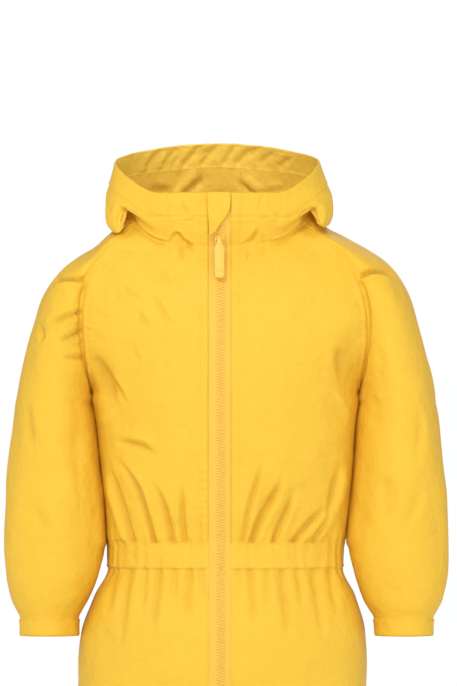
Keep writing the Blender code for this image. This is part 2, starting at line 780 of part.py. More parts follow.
# ---------------------------------------------------------------- hard pieces
def blocks(name, xs, ys, zs, filled, place, colour, roughness):
    """One body from filled cells between the given planes."""
    points = {}
    faces = []

    def at(i, j, k):
        return points.setdefault((i, j, k), len(points))
    for i, j, k in sorted(filled):
        sides = (
            ((-1, 0, 0), ((i, j, k), (i, j, k + 1), (i, j + 1, k + 1), (i, j + 1, k))),
            ((1, 0, 0), ((i + 1, j, k), (i + 1, j + 1, k), (i + 1, j + 1, k + 1), (i + 1, j, k + 1))),
            ((0, -1, 0), ((i, j, k), (i + 1, j, k), (i + 1, j, k + 1), (i, j, k + 1))),
            ((0, 1, 0), ((i, j + 1, k), (i, j + 1, k + 1), (i + 1, j + 1, k + 1), (i + 1, j + 1, k))),
            ((0, 0, -1), ((i, j, k), (i, j + 1, k), (i + 1, j + 1, k), (i + 1, j, k))),
            ((0, 0, 1), ((i, j, k + 1), (i + 1, j, k + 1), (i + 1, j + 1, k + 1), (i, j + 1, k + 1))),
        )
        for step, corners in sides:
            if (i + step[0], j + step[1], k + step[2]) not in filled:
                faces.append(tuple(at(*corner) for corner in corners))
    order = sorted(points, key=points.get)
    spots = [tuple(place(xs[i], ys[j], zs[k]) * MM) for i, j, k in order]
    make_object(name, spots, faces, colour, roughness)


def hinge_point():
    return np.array((HINGE_X, zip_depth(HINGE_Z) - HINGE_OUT, HINGE_Z))


def slider():
    """Slider body with two lugs that hold the pull tab between them."""
    above = HINGE_Z + SLIDER_HALF
    below = HINGE_Z - SLIDER_HALF
    slope = math.atan2(zip_depth(above) - zip_depth(below), above - below)
    hinge = hinge_point()

    def place(x, out, z):
        away = out - HINGE_OUT
        return hinge + np.array((x, -away * math.cos(slope) + z * math.sin(slope),
                                 z * math.cos(slope) + away * math.sin(slope)))
    plate = {(i, 1, k) for i in range(5) for k in range(3)}
    foot_corners = {(0, 1, 0), (4, 1, 0)}
    lugs = {(1, 0, 1), (3, 0, 1)}
    depths = [-out for out in reversed(SLIDER_OUT)]
    blocks("zip_slider", SLIDER_X, depths, SLIDER_Z, (plate - foot_corners) | lugs,
           lambda x, y, z: place(x, -y, z), TRIM, SLIDER_ROUGHNESS)


def pull_tab():
    """Soft moulded tab that hangs from the slider."""
    hinge = hinge_point()
    lean = math.radians(TAB_LEAN)
    outline = list(zip(TAB_OUTLINE["half"], TAB_OUTLINE["z"]))
    loop = outline + [(-half, z) for half, z in reversed(outline)]
    points = []
    for out in (TAB_THICK / 2, -TAB_THICK / 2):
        for x, z in loop:
            shift = np.array((x, -out * math.cos(lean) + z * math.sin(lean),
                              z * math.cos(lean) + out * math.sin(lean)))
            points.append(tuple(shift * MM))
    count = len(loop)
    faces = [tuple(range(count))[::-1], tuple(range(count, 2 * count))]
    for i in range(count):
        j = (i + 1) % count
        faces.append((i, j, count + j, count + i))
    tab = make_object("zip_pull_tab", points, faces, TRIM, TAB_ROUGHNESS)
    tab.location = tuple(hinge * MM)


def ring_closed(rows, side, make):
    return np.array([make(side, z) for z in rows])


def build():
    fronts = {side: front_grid(side) for side in (-1, 1)}
    sleeves = {side: sleeve_grid(side) for side in (-1, 1)}
    body_back = back_grid()
    casing = casing_grid()
    trousers = {side: lower_rows(side, True, TROUSER_ROWS) for side in (-1, 1)}
    edges = zip_field(fronts, casing, trousers)
    for side in (-1, 1):
        word = side_name(side)
        add_panel("body_front_" + word, fronts[side], flip=side > 0)
        add_panel("sleeve_" + word, sleeves[side], flip=side > 0)
        add_panel("sleeve_hem_" + word, ring_closed(ARM_HEM_ROWS, side, arm_ring), HEM_WALL,
                  flip=side > 0)
        for front in (True, False):
            grid = trousers[side] if front else lower_rows(side, False, TROUSER_ROWS)
            place = "front_" if front else "back_"
            add_panel("trouser_" + place + word, grid, flip=(side > 0) == front)
        hem = np.concatenate((lower_rows(side, True, ANKLE_ROWS),
                              lower_rows(side, False, ANKLE_ROWS)[:, ::-1][:, 1:]), axis=1)
        add_panel("ankle_hem_" + word, hem, HEM_WALL, flip=side > 0)
    add_panel("body_back", body_back)
    add_panel("waist_casing", casing, HEM_WALL)
    hood_body = HOOD_GRID[:-BAND_STEPS]
    centre_from = HOOD_FRONT_STEPS + HOOD_SHOULDER_STEPS + HOOD_REAR_STEPS
    centre_to = HOOD_GRID.shape[1] - 1 - centre_from
    add_panel("hood_side_right", hood_body[:, :centre_from + 1], flip=True)
    add_panel("hood_centre", hood_body[:, centre_from:centre_to + 1], flip=True)
    add_panel("hood_side_left", hood_body[:, centre_to:], flip=True)
    add_panel("hood_hem", HOOD_GRID[-BAND_STEPS - 1:], HEM_WALL, flip=True)
    add_panel("zip_tape_right", zip_strip(edges, ZIP_RIGHT, CHAIN_RIGHT), flip=True)
    add_panel("zip_chain", zip_strip(edges, CHAIN_RIGHT, CHAIN_LEFT), CHAIN_DEPTH, flip=True,
              lift=CHAIN_RISE)
    add_panel("zip_tape_left", zip_strip(edges, CHAIN_LEFT, ZIP_LEFT), flip=True)
    normals = shared_normals()
    add_panel("zip_guard", guard_grid(), GUARD_WALL, flip=True, lift=GUARD_LIFT)
    normals.update(guard_normals())
    for name in PANELS:
        wall(name, normals, CLOTH, CLOTH_ROUGHNESS)
    slider()
    pull_tab()


for thing in list(bpy.data.objects):
    bpy.data.objects.remove(thing, do_unlink=True)
build()
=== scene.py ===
# %% [markdown]
# # A child's hooded puddle suit, hollow as if it were worn
# The real suit is thin coated cloth, cut in panels and sewn into one tube with
# two sleeves and two legs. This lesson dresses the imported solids: every panel
# becomes a thin sheet of cloth that follows the solid's form, and on it come
# the folds, the sewing, the zip and the finish.
# The solids are loaded first and never moved, so each sheet lands in place.

# %% Load the solids
import math

import bmesh
import bpy
import numpy as np
from mathutils import Matrix, Vector


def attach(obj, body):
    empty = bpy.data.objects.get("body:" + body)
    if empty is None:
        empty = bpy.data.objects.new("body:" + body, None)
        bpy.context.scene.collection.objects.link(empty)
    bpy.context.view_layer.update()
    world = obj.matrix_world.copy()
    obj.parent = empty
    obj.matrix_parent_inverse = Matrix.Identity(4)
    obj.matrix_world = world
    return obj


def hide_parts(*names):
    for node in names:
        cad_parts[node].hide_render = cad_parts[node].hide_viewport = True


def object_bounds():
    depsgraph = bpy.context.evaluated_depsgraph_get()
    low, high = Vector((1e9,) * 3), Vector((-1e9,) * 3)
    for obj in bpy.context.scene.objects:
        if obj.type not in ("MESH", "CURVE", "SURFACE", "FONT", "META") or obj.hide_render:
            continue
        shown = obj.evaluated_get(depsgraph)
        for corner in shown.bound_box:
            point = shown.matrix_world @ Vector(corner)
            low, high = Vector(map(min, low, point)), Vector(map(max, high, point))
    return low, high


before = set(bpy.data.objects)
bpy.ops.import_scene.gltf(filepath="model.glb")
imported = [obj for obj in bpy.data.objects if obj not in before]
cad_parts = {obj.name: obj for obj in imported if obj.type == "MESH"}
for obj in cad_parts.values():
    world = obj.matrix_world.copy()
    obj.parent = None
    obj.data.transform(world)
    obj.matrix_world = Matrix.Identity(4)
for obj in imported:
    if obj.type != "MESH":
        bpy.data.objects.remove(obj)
CAD_BOX = [list(corner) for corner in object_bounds()]
MM = 0.001
print("solids:", len(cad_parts), "box in mm:",
      [[round(v / MM) for v in corner] for corner in CAD_BOX])

# %% [markdown]
# ## Camera
# The photograph is a close view from straight in front, taken with a long
# lens. One of its pixels is 1.05 mm on the suit, so the whole picture is 480
# by 720 mm. A camera 8 m away with a narrow lens gives that frame with hardly
# any perspective.

# %% Put the camera in front
PICTURE_HIGH = 686      # pixels
PIXEL = 1.05            # mm on the suit
CENTRE = (6.8, -113.4)  # middle of the picture in mm, across and up
AWAY = 8.0              # metres
SENSOR = 36.0


def link(name, data):
    """A new object in the scene."""
    thing = bpy.data.objects.new(name, data)
    bpy.context.scene.collection.objects.link(thing)
    return thing


cam_data = bpy.data.cameras.new("camera")
cam_data.sensor_fit = "AUTO"
cam_data.sensor_width = SENSOR
cam_data.lens = SENSOR * AWAY / (PICTURE_HIGH * PIXEL * MM)
cam_data.clip_end = 60.0
camera = link("camera", cam_data)
camera.location = (CENTRE[0] * MM, -AWAY, CENTRE[1] * MM)
camera.rotation_euler = (math.radians(90), 0, 0)
bpy.context.scene.camera = camera
bpy.context.scene.view_settings.view_transform = "Standard"    # keeps a strong yellow strong
print("lens in mm:", round(cam_data.lens))

# %% [markdown]
# ## Studio
# Product photographs are lit to be almost free of shadow, in front of plain
# white: one big soft lamp high in front, weaker ones beside it, and a little
# light from all round. The hollows then darken only where cloth hides the
# light. A pale floor lies under the feet and fades to white further out, so
# that its edge never shows. The sky shows white too, but lights the suit only
# weakly, so that the sides that turn away stay deep in colour.

# %% Lamps
AIM = Vector((0.0, 0.0, -0.15))
# place, width in metres, power in watts
LAMPS = {
    "key": ((-1.4, -3.0, 2.5), 1.3, 60.0),
    "fill": ((2.2, -3.2, 0.2), 2.2, 17.0),
    "top": ((0.1, -0.3, 2.6), 1.8, 6.0),
    "over": ((0.4, -3.3, 1.5), 1.2, 15.0),
    "front": ((0.2, -4.0, 0.0), 2.0, 26.0),
    "side_right": ((-3.4, -0.9, 0.3), 1.8, 15.0),
    "side_left": ((3.4, -0.9, 0.3), 1.8, 15.0),
    "behind": ((0.6, 3.0, 1.6), 2.2, 9.0),
}
for name, (place, size, power) in LAMPS.items():
    lamp = bpy.data.lights.new(name, "AREA")
    lamp.size = size
    lamp.energy = power
    stand = link(name, lamp)
    stand.location = place
    stand.visible_camera = False
    stand.rotation_euler = (AIM - Vector(place)).to_track_quat("-Z", "Y").to_euler()
print("lamps:", sorted(LAMPS))


# %% Helpers for shader nodes
def wire(tree, source, socket):
    """Links an output to a socket, or sets the socket to a number or a colour."""
    if isinstance(source, bpy.types.NodeSocket):
        tree.links.new(source, socket)
    else:
        socket.default_value = source


def add_node(tree, kind, inputs=None, **settings):
    """A node with its settings, and with its inputs linked or set."""
    node = tree.nodes.new(kind)
    for key, value in settings.items():
        setattr(node, key, value)
    for key, source in (inputs or {}).items():
        wire(tree, source, node.inputs[key])
    return node


def noise(tree, place, scale, detail=3.0, rough=0.55):
    return add_node(tree, "ShaderNodeTexNoise", {
        "Vector": place, "Scale": scale, "Detail": detail, "Roughness": rough}).outputs["Fac"]


def remap(tree, value, low, high, to_low=0.0, to_high=1.0):
    """A value carried from one range to another, with soft ends."""
    return add_node(tree, "ShaderNodeMapRange", {
        "Value": value, "From Min": low, "From Max": high, "To Min": to_low, "To Max": to_high},
        interpolation_type="SMOOTHSTEP").outputs["Result"]


def calculate(tree, operation, one, two):
    return add_node(tree, "ShaderNodeMath", {0: one, 1: two}, operation=operation).outputs["Value"]


def mix_colour(tree, share, one, two):
    return add_node(tree, "ShaderNodeMix", {"Factor": share, 6: one, 7: two},
                    data_type="RGBA").outputs[2]


def bump(tree, height, distance, normal=None):
    """A bent normal; distance is the height in metres."""
    inputs = {"Height": height, "Distance": distance, "Strength": 1.0}
    if normal is not None:
        inputs["Normal"] = normal
    return add_node(tree, "ShaderNodeBump", inputs).outputs["Normal"]


print("shader helpers are ready")

# %% Floor
FLOOR_FADE = (1.2, 3.6)    # metres from the suit where the floor starts to fade and is white
floor_mesh = bpy.data.meshes.new("floor")
bm = bmesh.new()
bmesh.ops.create_circle(bm, cap_ends=True, segments=96, radius=7.0)
bm.to_mesh(floor_mesh)
bm.free()
floor = link("floor", floor_mesh)
floor.location.z = CAD_BOX[0][2] - 0.5 * MM
paper = bpy.data.materials.new("paper")
paper.use_nodes = True
floor.data.materials.append(paper)
tree = paper.node_tree
shader = tree.nodes["Principled BSDF"]
shader.inputs["Base Color"].default_value = (0.93, 0.93, 0.925, 1)
shader.inputs["Roughness"].default_value = 0.9
place = add_node(tree, "ShaderNodeTexCoord").outputs["Object"]
away = add_node(tree, "ShaderNodeVectorMath", {0: place}, operation="LENGTH").outputs["Value"]
white = add_node(tree, "ShaderNodeEmission").outputs["Emission"]
blend = add_node(tree, "ShaderNodeMixShader", {
    "Fac": remap(tree, away, *FLOOR_FADE), 1: shader.outputs["BSDF"], 2: white})
wire(tree, blend.outputs["Shader"], tree.nodes["Material Output"].inputs["Surface"])
print("floor at", round(floor.location.z / MM), "mm")

# %% Sky
SKY_GLOW = 0.42
world = bpy.data.worlds.new("studio")
bpy.context.scene.world = world
world.use_nodes = True
tree = world.node_tree
glow = tree.nodes["Background"]
glow.inputs["Color"].default_value = (1.0, 0.98, 0.95, 1)
glow.inputs["Strength"].default_value = SKY_GLOW
white = add_node(tree, "ShaderNodeBackground", {"Color": (1.0, 1.0, 1.0, 1), "Strength": 1.0})
seen = add_node(tree, "ShaderNodeLightPath").outputs["Is Camera Ray"]
either = add_node(tree, "ShaderNodeMixShader", {
    "Fac": seen, 1: glow.outputs["Background"], 2: white.outputs["Background"]})
wire(tree, either.outputs["Shader"], tree.nodes["World Output"].inputs["Surface"])
print("sky lights the suit with", SKY_GLOW)

# %% [markdown]
# ## The suit's form
# A sewing pattern is flat, but here the filled-out form comes first. It is a
# handful of tables of sizes in millimetres: rings of the trunk and legs, rings
# of the sleeves, the raglan seams and the rings of the hood. They are the
# sizes that the solids were made from, so a sheet and its solid agree.
# +X is the wearer's left, +Y the back, and the origin is at the neck.

# %% Landmarks of the suit
CORNER_FRONT = 65.0     # degrees round the neck to the front raglan seam
CORNER_BACK = 127.0     # degrees to the back raglan seam
CORNER_TOP = 92.0       # degrees to a sleeve's outermost line
CENTRE_SEAM = 168.0     # degrees to the hood's centre piece
SIDE_WORD = {-1: "right", 1: "left"}
ZIP_EDGE = {-1: -14.0, 1: 9.0}
CHAIN = (-5.3, 3.3)     # edges of the zip's chain
ROUNDNESS = 0.92        # power that makes a section fuller than an ellipse
WAIST_TOP = -321.0
WAIST_LOW = -349.0
CUFF_TOP = -402.0
CUFF_LOW = -420.0
ARM_TOP = -176.0
ZIP_END = -480.0
ANKLE_TOP = -870.0
ANKLE_LOW = -886.0


def table(names, rows):
    """A table as a dictionary of columns."""
    return {name: np.array([row[i] for row in rows], float)
            for i, name in enumerate(names.split())}


print("neck to cuff in mm:", -CUFF_LOW)

# %% Sizes of the trunk and legs
TRUNK = table("z right left front back leg", (
    (31, 103, 103, 52, 58, 0), (-12, 120, 120, 62.5, 69, 0), (-40, 132, 134, 73, 76, 0),
    (-80, 142, 146, 84, 84, 0), (-130, 142, 148, 92, 89, 0), (-170, 136, 142.8, 94.5, 90, 0),
    (-185, 132.5, 140.5, 95, 90, 0), (-205, 130.3, 138.8, 95, 89, 0),
    (-240, 127.2, 137.2, 93, 87, 0), (-280, 122.6, 133.4, 90, 84, 0),
    (-321, 119.5, 128, 85, 80, 0), (-349, 119.5, 127.5, 85, 80, 0),
    (-378, 134, 140, 94, 90, 0), (-415, 147, 150, 98, 98, 4), (-450, 151, 152, 98, 101, 12),
    (-480, 152, 152, 96, 101, 28), (-502, 152, 152, 94, 100, 45), (-520, 151, 151, 92, 98, 59),
    (-534, 151, 151, 90, 96, 69), (-545, 150, 150, 88, 94, 75), (-565, 150, 150, 85, 90, 77.5),
    (-610, 148, 148, 80, 85, 79), (-680, 144, 144, 74, 78, 80), (-760, 139, 139, 67, 69, 80),
    (-835, 133, 133, 60, 61, 80), (-870, 124, 124, 47, 48, 80), (-885, 121, 121, 43, 44, 80),
    (-900, 121, 121, 43, 44, 80),
))
print("rings of the trunk:", len(TRUNK["z"]))

# %% Sizes of the sleeves
# the front seam's, the back seam's and the outermost line's points, and half the depth
RAGLAN = {
    -1: table("fx fy fz bx by bz mx mz half", (
        (-110, -38, -2, -100, 50, 14, -118, 3, 46), (-124, -44, -19, -112, 57, -3, -134, -14, 53),
        (-134.4, -48, -34.6, -122, 61, -20, -152, -24.5, 57),
        (-140.7, -51, -52.5, -130, 62, -40, -168, -37, 59.5),
        (-144.9, -52, -71.4, -136, 62, -61, -180, -50.5, 61),
        (-146, -51, -92.4, -140, 59, -84, -190, -69, 61.5),
        (-144.4, -46, -116.5, -141, 53, -108, -198, -93, 61.5),
        (-141.2, -36, -138.5, -140, 42, -133, -205.5, -118, 61),
        (-138.2, -21, -154, -138, 24, -154, -211, -144, 60),
        (-136, 2, -168, -136, 2, -168, -215, -168, 58.5))),
    1: table("fx fy fz bx by bz mx mz half", (
        (106, -38, 0, 97, 50, 15, 117, 4, 46), (119.7, -44, -13.6, 112, 57, -1, 136, -7, 53),
        (132.3, -48, -29, 124, 61, -17, 155, -17, 57),
        (141, -51, -46, 134, 62, -36, 171, -28, 59.5),
        (147.5, -52, -65, 141, 62, -57, 184, -43, 61),
        (151, -51, -86, 146, 59, -80, 195, -62, 61.5),
        (151.5, -46, -110, 148, 53, -105, 204.5, -88, 61.5),
        (148.7, -36, -134, 147, 42, -131, 212, -114, 61),
        (145.4, -21, -153, 145, 24, -153, 218, -141, 60),
        (142.8, 2, -168, 142.8, 2, -168, 222.5, -166, 58.5))),
}
ARM = {
    -1: table("z inner outer half middle", (
        (-176, -138.5, -216.5, 57.5, 2), (-192, -134.2, -218.5, 56, 1), (-215, -131, -221, 54, -1),
        (-245, -128, -224, 51, -4), (-282, -123.8, -226.6, 48, -6), (-321, -123.2, -228, 45, -8),
        (-355, -129, -226.5, 42, -10), (-382, -139.5, -221, 38, -12), (-402, -149, -213, 32, -13),
        (-421, -150, -212, 31, -14))),
    1: table("z inner outer half middle", (
        (-176, 145.5, 223.5, 57.5, 2), (-192, 142.2, 227, 56, 1), (-215, 140, 230, 54, -1),
        (-245, 138.2, 233, 51, -4), (-282, 134.6, 236, 48, -6), (-321, 132.6, 238.3, 45, -8),
        (-355, 138.5, 237, 42, -10), (-382, 148, 231, 38, -12), (-402, 158, 222, 32, -13),
        (-421, 159, 221, 31, -14))),
}
print("rings of a sleeve:", len(RAGLAN[1]["fx"]) + len(ARM[1]["z"]))

# %% Sizes of the hood
HOOD_ANGLES = (0, 35, 60, 75, 90, 120, 135, 150, 180)    # where a ring's height is given
HOOD = table("middle half front back z0 z35 z60 z75 z90 z120 z135 z150 z180", (
    (-3.5, 100, 62, 58, -12.5, -7, 12, 21, 25, 29, 30.5, 31, 31),
    (-3.5, 103, 63, 64, -9, -3, 17.5, 26, 30, 35, 37, 38, 38),
    (-3.5, 108.5, 65, 84, -4, 3, 25, 26, 29, 31, 18, -10, -30),
    (-3.5, 114, 67, 110, 4, 8, 26, 14, 20, 26, -30, -80, -98),
    (-3.5, 118.5, 68, 134, 11, 13, 28, 21, 29, 26, -8, -38, -52),
    (-3.5, 118.5, 69, 137, 15, 17, 32, 36, 41, 40, 31, 22, 14),
    (-4, 114.5, 69, 127, 18, 19, 37, 47, 52.5, 61, 66, 69.5, 74),
    (-5, 107, 68, 117, 43.8, 43.8, 59.5, 70, 76.5, 86.5, 91, 95.3, 99.5),
))
print("rings of the hood:", len(HOOD["half"]))

# %% [markdown]
# A table gives a ring every few centimetres. Between them the cloth runs
# smoothly, so each column becomes a smooth line that never swings past its
# points. The mesh gets a point about every 2 mm where the photograph looks,
# which is fine enough for a crease 4 mm wide, and fewer on the legs.

# %% How finely each direction is divided
FRONT = 92              # columns in each front, zip to raglan seam
SLEEVE = 104            # columns round a sleeve
BACK = 53               # columns in each half of the back
RAGLAN_ROWS = 84        # rows from the neck to the underarm
SIDE_ROWS = 78          # rows from the underarm to the waist
SLEEVE_ROWS = 92        # rows down a sleeve from the underarm
CASING_ROWS = 14
HOOD_ROWS = (3, 18, 18, 12, 16, 14, 12)
BAND = HOOD_ROWS[-1]    # rows of the hem band
print("columns round the neck:", 2 * (FRONT + SLEEVE + BACK) + 1)


# %% Smooth lines through a table
def cubic(t, long, start, end, start_slope, end_slope):
    """A curve between two points with given slopes, at a share t of the way."""
    near = (2 * t ** 3 - 3 * t ** 2 + 1) * start + (t ** 3 - 2 * t ** 2 + t) * long * start_slope
    far = (3 * t ** 2 - 2 * t ** 3) * end + (t ** 3 - t ** 2) * long * end_slope
    return near + far


def interval(xs, q):
    """Number of the interval that each place lies in."""
    return np.clip(np.searchsorted(xs, q, side="right") - 1, 0, len(xs) - 2)


def smooth_line(xs, ys):
    """A smooth line through a table's points, without overshoot."""
    order = np.argsort(xs)
    x = np.asarray(xs, float)[order]
    y = np.asarray(ys, float)[order]
    long = np.diff(x)
    steep = np.diff(y) / long
    slopes = np.concatenate(([steep[0]], np.zeros(len(steep) - 1), [steep[-1]]))
    for i in range(1, len(steep)):
        if steep[i - 1] * steep[i] > 0:
            w1 = 2 * long[i] + long[i - 1]
            w2 = long[i] + 2 * long[i - 1]
            slopes[i] = (w1 + w2) / (w1 / steep[i - 1] + w2 / steep[i])

    def at(q):
        q = np.clip(np.asarray(q, float), x[0], x[-1])
        k = interval(x, q)
        return cubic((q - x[k]) / long[k], long[k], y[k], y[k + 1], slopes[k], slopes[k + 1])
    return at


def rounded_line(xs, ys, q):
    """A rounder line through points, with the slope of the points on each side."""
    slopes = np.gradient(ys, xs)
    k = interval(xs, q)
    long = xs[k + 1] - xs[k]
    return cubic((q - xs[k]) / long, long, ys[k], ys[k + 1], slopes[k], slopes[k + 1])


def length_along(points):
    """Distance of each point of a line from its start."""
    return np.concatenate(([0.0], np.cumsum(np.linalg.norm(np.diff(points, axis=0), axis=1))))


def columns_at(rows):
    """A smooth line for each column of a table, by height."""
    return {name: smooth_line(rows["z"], rows[name]) for name in rows if name != "z"}


TRUNK_AT = columns_at(TRUNK)
ARM_AT = {side: columns_at(rows) for side, rows in ARM.items()}
print("trunk at the chest, half width in mm:", float(TRUNK_AT["right"](-120)))


# %% Soft steps
def ease(t):
    """0 to 1 with soft ends."""
    t = np.clip(t, 0.0, 1.0)
    return t * t * (3 - 2 * t)


def between(value, low, full, easing, gone):
    """0, up to 1 and back to 0, with soft ends."""
    return ease((value - low) / (full - low)) * (1 - ease((value - easing) / (gone - easing)))


def bell(distance, width):
    """1 in the middle, dying away on both sides."""
    return np.exp(-(distance / width) ** 2)


print("a bell at its width:", round(float(bell(1.0, 1.0)), 2))

# %% [markdown]
# ## Hood
# The hood is pushed back. From the neck seam its cloth stands up in front as a
# collar. At the back it falls in a bag between the shoulders, turns, and comes
# up again to the face edge, which carries a hem band. So it is one surface of
# rings that first go down and then up, and each column of it is a rounded line
# through eight rings.

# %% Rings of the hood
def zip_angle(ring, side):
    """Angle at which a hood ring meets the edge beside the zip."""
    reach = (ZIP_EDGE[side] - HOOD["middle"][ring]) / HOOD["half"][ring]
    return math.degrees(math.asin(reach))


def hood_ring(ring, degrees):
    """Points of one ring; negative angles are on the wearer's right."""
    heights = [HOOD["z%d" % angle][ring] for angle in HOOD_ANGLES]
    height = smooth_line((-HOOD_ANGLES[1],) + HOOD_ANGLES + (360 - HOOD_ANGLES[-2],),
                         [heights[1]] + heights + [heights[-2]])
    a = np.radians(degrees)
    reach = np.where(np.cos(a) > 0, -HOOD["front"][ring], HOOD["back"][ring])
    return np.stack((HOOD["middle"][ring] + HOOD["half"][ring] * np.sin(a),
                     reach * np.abs(np.cos(a)), height(np.abs(degrees))), axis=-1)


def hood_columns():
    """Angle, side and share of the zip edge's shift for each column, from the
    right of the zip round the back to its left."""
    halves = []
    for side in (-1, 1):
        start = zip_angle(0, side)
        u = np.arange(FRONT) / FRONT
        front = start + (side * CORNER_FRONT - start) * u
        over = side * (CORNER_FRONT + (CORNER_BACK - CORNER_FRONT) * np.arange(SLEEVE) / SLEEVE)
        rear = side * (CORNER_BACK + (180.0 - CORNER_BACK) * np.arange(BACK) / BACK)
        angle = np.concatenate((front, over, rear))
        share = np.concatenate((1 - u, np.zeros(SLEEVE + BACK)))
        halves.append(np.stack((angle, np.full(len(angle), side), share), axis=1))
    return np.concatenate((halves[0], [(180.0, 1, 0.0)], halves[1][::-1]))


COLUMNS = hood_columns()
print("columns of the hood:", len(COLUMNS))


# %% The hood's surface
def hood_grid():
    rings = []
    for ring in range(len(HOOD["half"])):
        shift = [zip_angle(ring, side) - zip_angle(0, side) for side in (-1, 1)]
        rings.append(hood_ring(ring, COLUMNS[:, 0] + COLUMNS[:, 2]
                               * np.where(COLUMNS[:, 1] < 0, shift[0], shift[1])))
    rings = np.array(rings)
    places = [0.0]
    for ring, steps in enumerate(HOOD_ROWS):
        places += [ring + (i + 1) / steps for i in range(steps)]
    lines = []
    for c in range(len(COLUMNS)):
        points = rings[:, c]
        span = length_along(points)
        at = np.interp(places, range(len(points)), span)
        lines.append(np.stack([rounded_line(span, points[:, i], at) for i in range(3)], axis=1))
    return np.stack(lines, axis=1)


# Where the hood leans: degrees round the neck, then rings up, each as start, full,
# easing and gone. Then the lean in mm on the wearer's right and left.
LEANS = (
    ((61, 70, 84, 108), (1.3, 2.8, 3.6, 5.3), ((-1.5, -12.0, -9.0), (2.0, -10.0, -5.0))),
    ((80, 96, 116, 130), (1.3, 2.5, 4.0, 5.2), ((2.0, 0.0, -8.0), (-0.5, 0.0, -8.0))),
    ((59, 65, 68, 79), (1.5, 2.8, 3.4, 5.0), ((4.5, -4.0, -6.5), (-2.0, -2.5, -4.0))),
)


def rest_on_shoulders(grid):
    """The folded corners lean forward and down until they rest on the shoulders."""
    angle = np.abs(COLUMNS[:, 0])[None, :]
    side = np.where(COLUMNS[:, 1] < 0, 0, 1)
    ring = np.interp(np.arange(len(grid)), np.concatenate(([0], np.cumsum(HOOD_ROWS))),
                     np.arange(len(HOOD_ROWS) + 1))[:, None]
    for turn, height, lean in LEANS:
        weight = between(angle, *turn) * between(ring, *height)
        grid = grid + weight[..., None] * np.array(lean)[side][None]
    return grid


HOOD_GRID = rest_on_shoulders(hood_grid())
NECK = {-1: HOOD_GRID[0], 1: HOOD_GRID[0, ::-1]}    # the neck seam from the zip, each side
print("hood rows and columns:", HOOD_GRID.shape[:2])

# %% [markdown]
# ## Trunk, sleeves and legs
# A section of the trunk is a rounded ring, a little fuller than an ellipse.
# The sleeves are raglan: their seams run from the neck down to the underarm, so
# the rows of a front end on the seam and those of the sleeve start there. Both
# read the same seam line, which is what keeps the panels joined.

# %% Raglan seams
OUTER_DEPTH = 3.0       # how far back a sleeve's outermost line runs
NECK_HALF = 33.0        # half the sleeve's depth at the neck


def raglan_lines(side):
    """Smooth lines of one raglan: front seam, back seam, outer line, half depth."""
    rows = RAGLAN[side]
    places = np.arange(len(rows["fx"]) + 1)

    def from_neck(start, column):
        return smooth_line(places, np.concatenate(([start], rows[column])))
    top = hood_ring(0, np.array([side * CORNER_TOP]))[0]
    lines = {part: [from_neck(NECK[side][corner][i], part + "xyz"[i]) for i in range(3)]
             for part, corner in (("f", FRONT), ("b", FRONT + SLEEVE))}
    lines["m"] = [from_neck(top[0], "mx"), lambda t: OUTER_DEPTH, from_neck(top[2], "mz")]
    lines["half"] = from_neck(NECK_HALF, "half")
    return lines


RAGLAN_AT = {side: raglan_lines(side) for side in (-1, 1)}
STEPS_DOWN = np.linspace(0, len(RAGLAN[1]["fx"]), RAGLAN_ROWS + 1)
UNDERARM = RAGLAN[1]["fz"][-1]


def raglan(side, part, t):
    return np.array([float(line(t)) for line in RAGLAN_AT[side][part]])


print("underarm height in mm:", UNDERARM)


# %% One row of the trunk
def shaped(value):
    """Makes a circle's sine or cosine fuller."""
    return np.sign(value) * np.abs(value) ** ROUNDNESS


def section(side, front, z, middle_x, edge=None, heights=None):
    """One row, from its middle edge to its side edge. edge is the raglan seam's
    point, or None for the side seam. heights are those of the row's points."""
    steps = FRONT if front else BACK
    u = np.arange(steps + 1) / steps
    height = z + 0 * u if heights is None else heights(u)
    leg = float(TRUNK_AT["leg"](z))
    wide = float(TRUNK_AT[SIDE_WORD[side]](z)) - leg
    depth_at = TRUNK_AT["front" if front else "back"]
    end_angle = 0.0
    if edge is not None:
        end_angle = math.asin(min(0.999, (abs(edge[1]) / depth_at(edge[2])) ** (1 / ROUNDNESS)))
        wide = abs(edge[0]) / math.cos(end_angle) ** ROUNDNESS
    start = abs(middle_x) - leg if side * middle_x > 0 else -leg
    start = max(-1.0, min(1.0, start / wide))
    start_angle = math.acos(math.copysign(abs(start) ** (1 / ROUNDNESS), start))
    angle = start_angle + (end_angle - start_angle) * u
    x = leg + wide * shaped(np.cos(angle))
    y = depth_at(height) * shaped(np.sin(angle)) * (-1 if front else 1)
    return np.stack((side * x, y, height), axis=1)


def level_rows(side, front, heights):
    """Rows below the underarm, each at one height."""
    return np.array([section(side, front, z, ZIP_EDGE[side] if front and z >= ZIP_END else 0.0)
                     for z in heights])


def settle(rows, neck_row):
    """Rows near the neck start from the neck seam and ease into their own form."""
    off = neck_row - rows[0]
    return np.array([row + off * (1 - ease(t / 1.3)) for row, t in zip(rows, STEPS_DOWN)])


print("points in a row of a front:", len(section(1, True, -200.0, ZIP_EDGE[1])))

# %% Fronts, back and waist casing
FRONT_RISE = (3.4, 2.2)    # how late a front's row climbs to the seam, at the neck and underarm
BACK_RISE = 2.2
SIDE_HEIGHTS = UNDERARM + (WAIST_TOP - UNDERARM) * (np.arange(1, SIDE_ROWS + 1) / SIDE_ROWS) ** 0.9


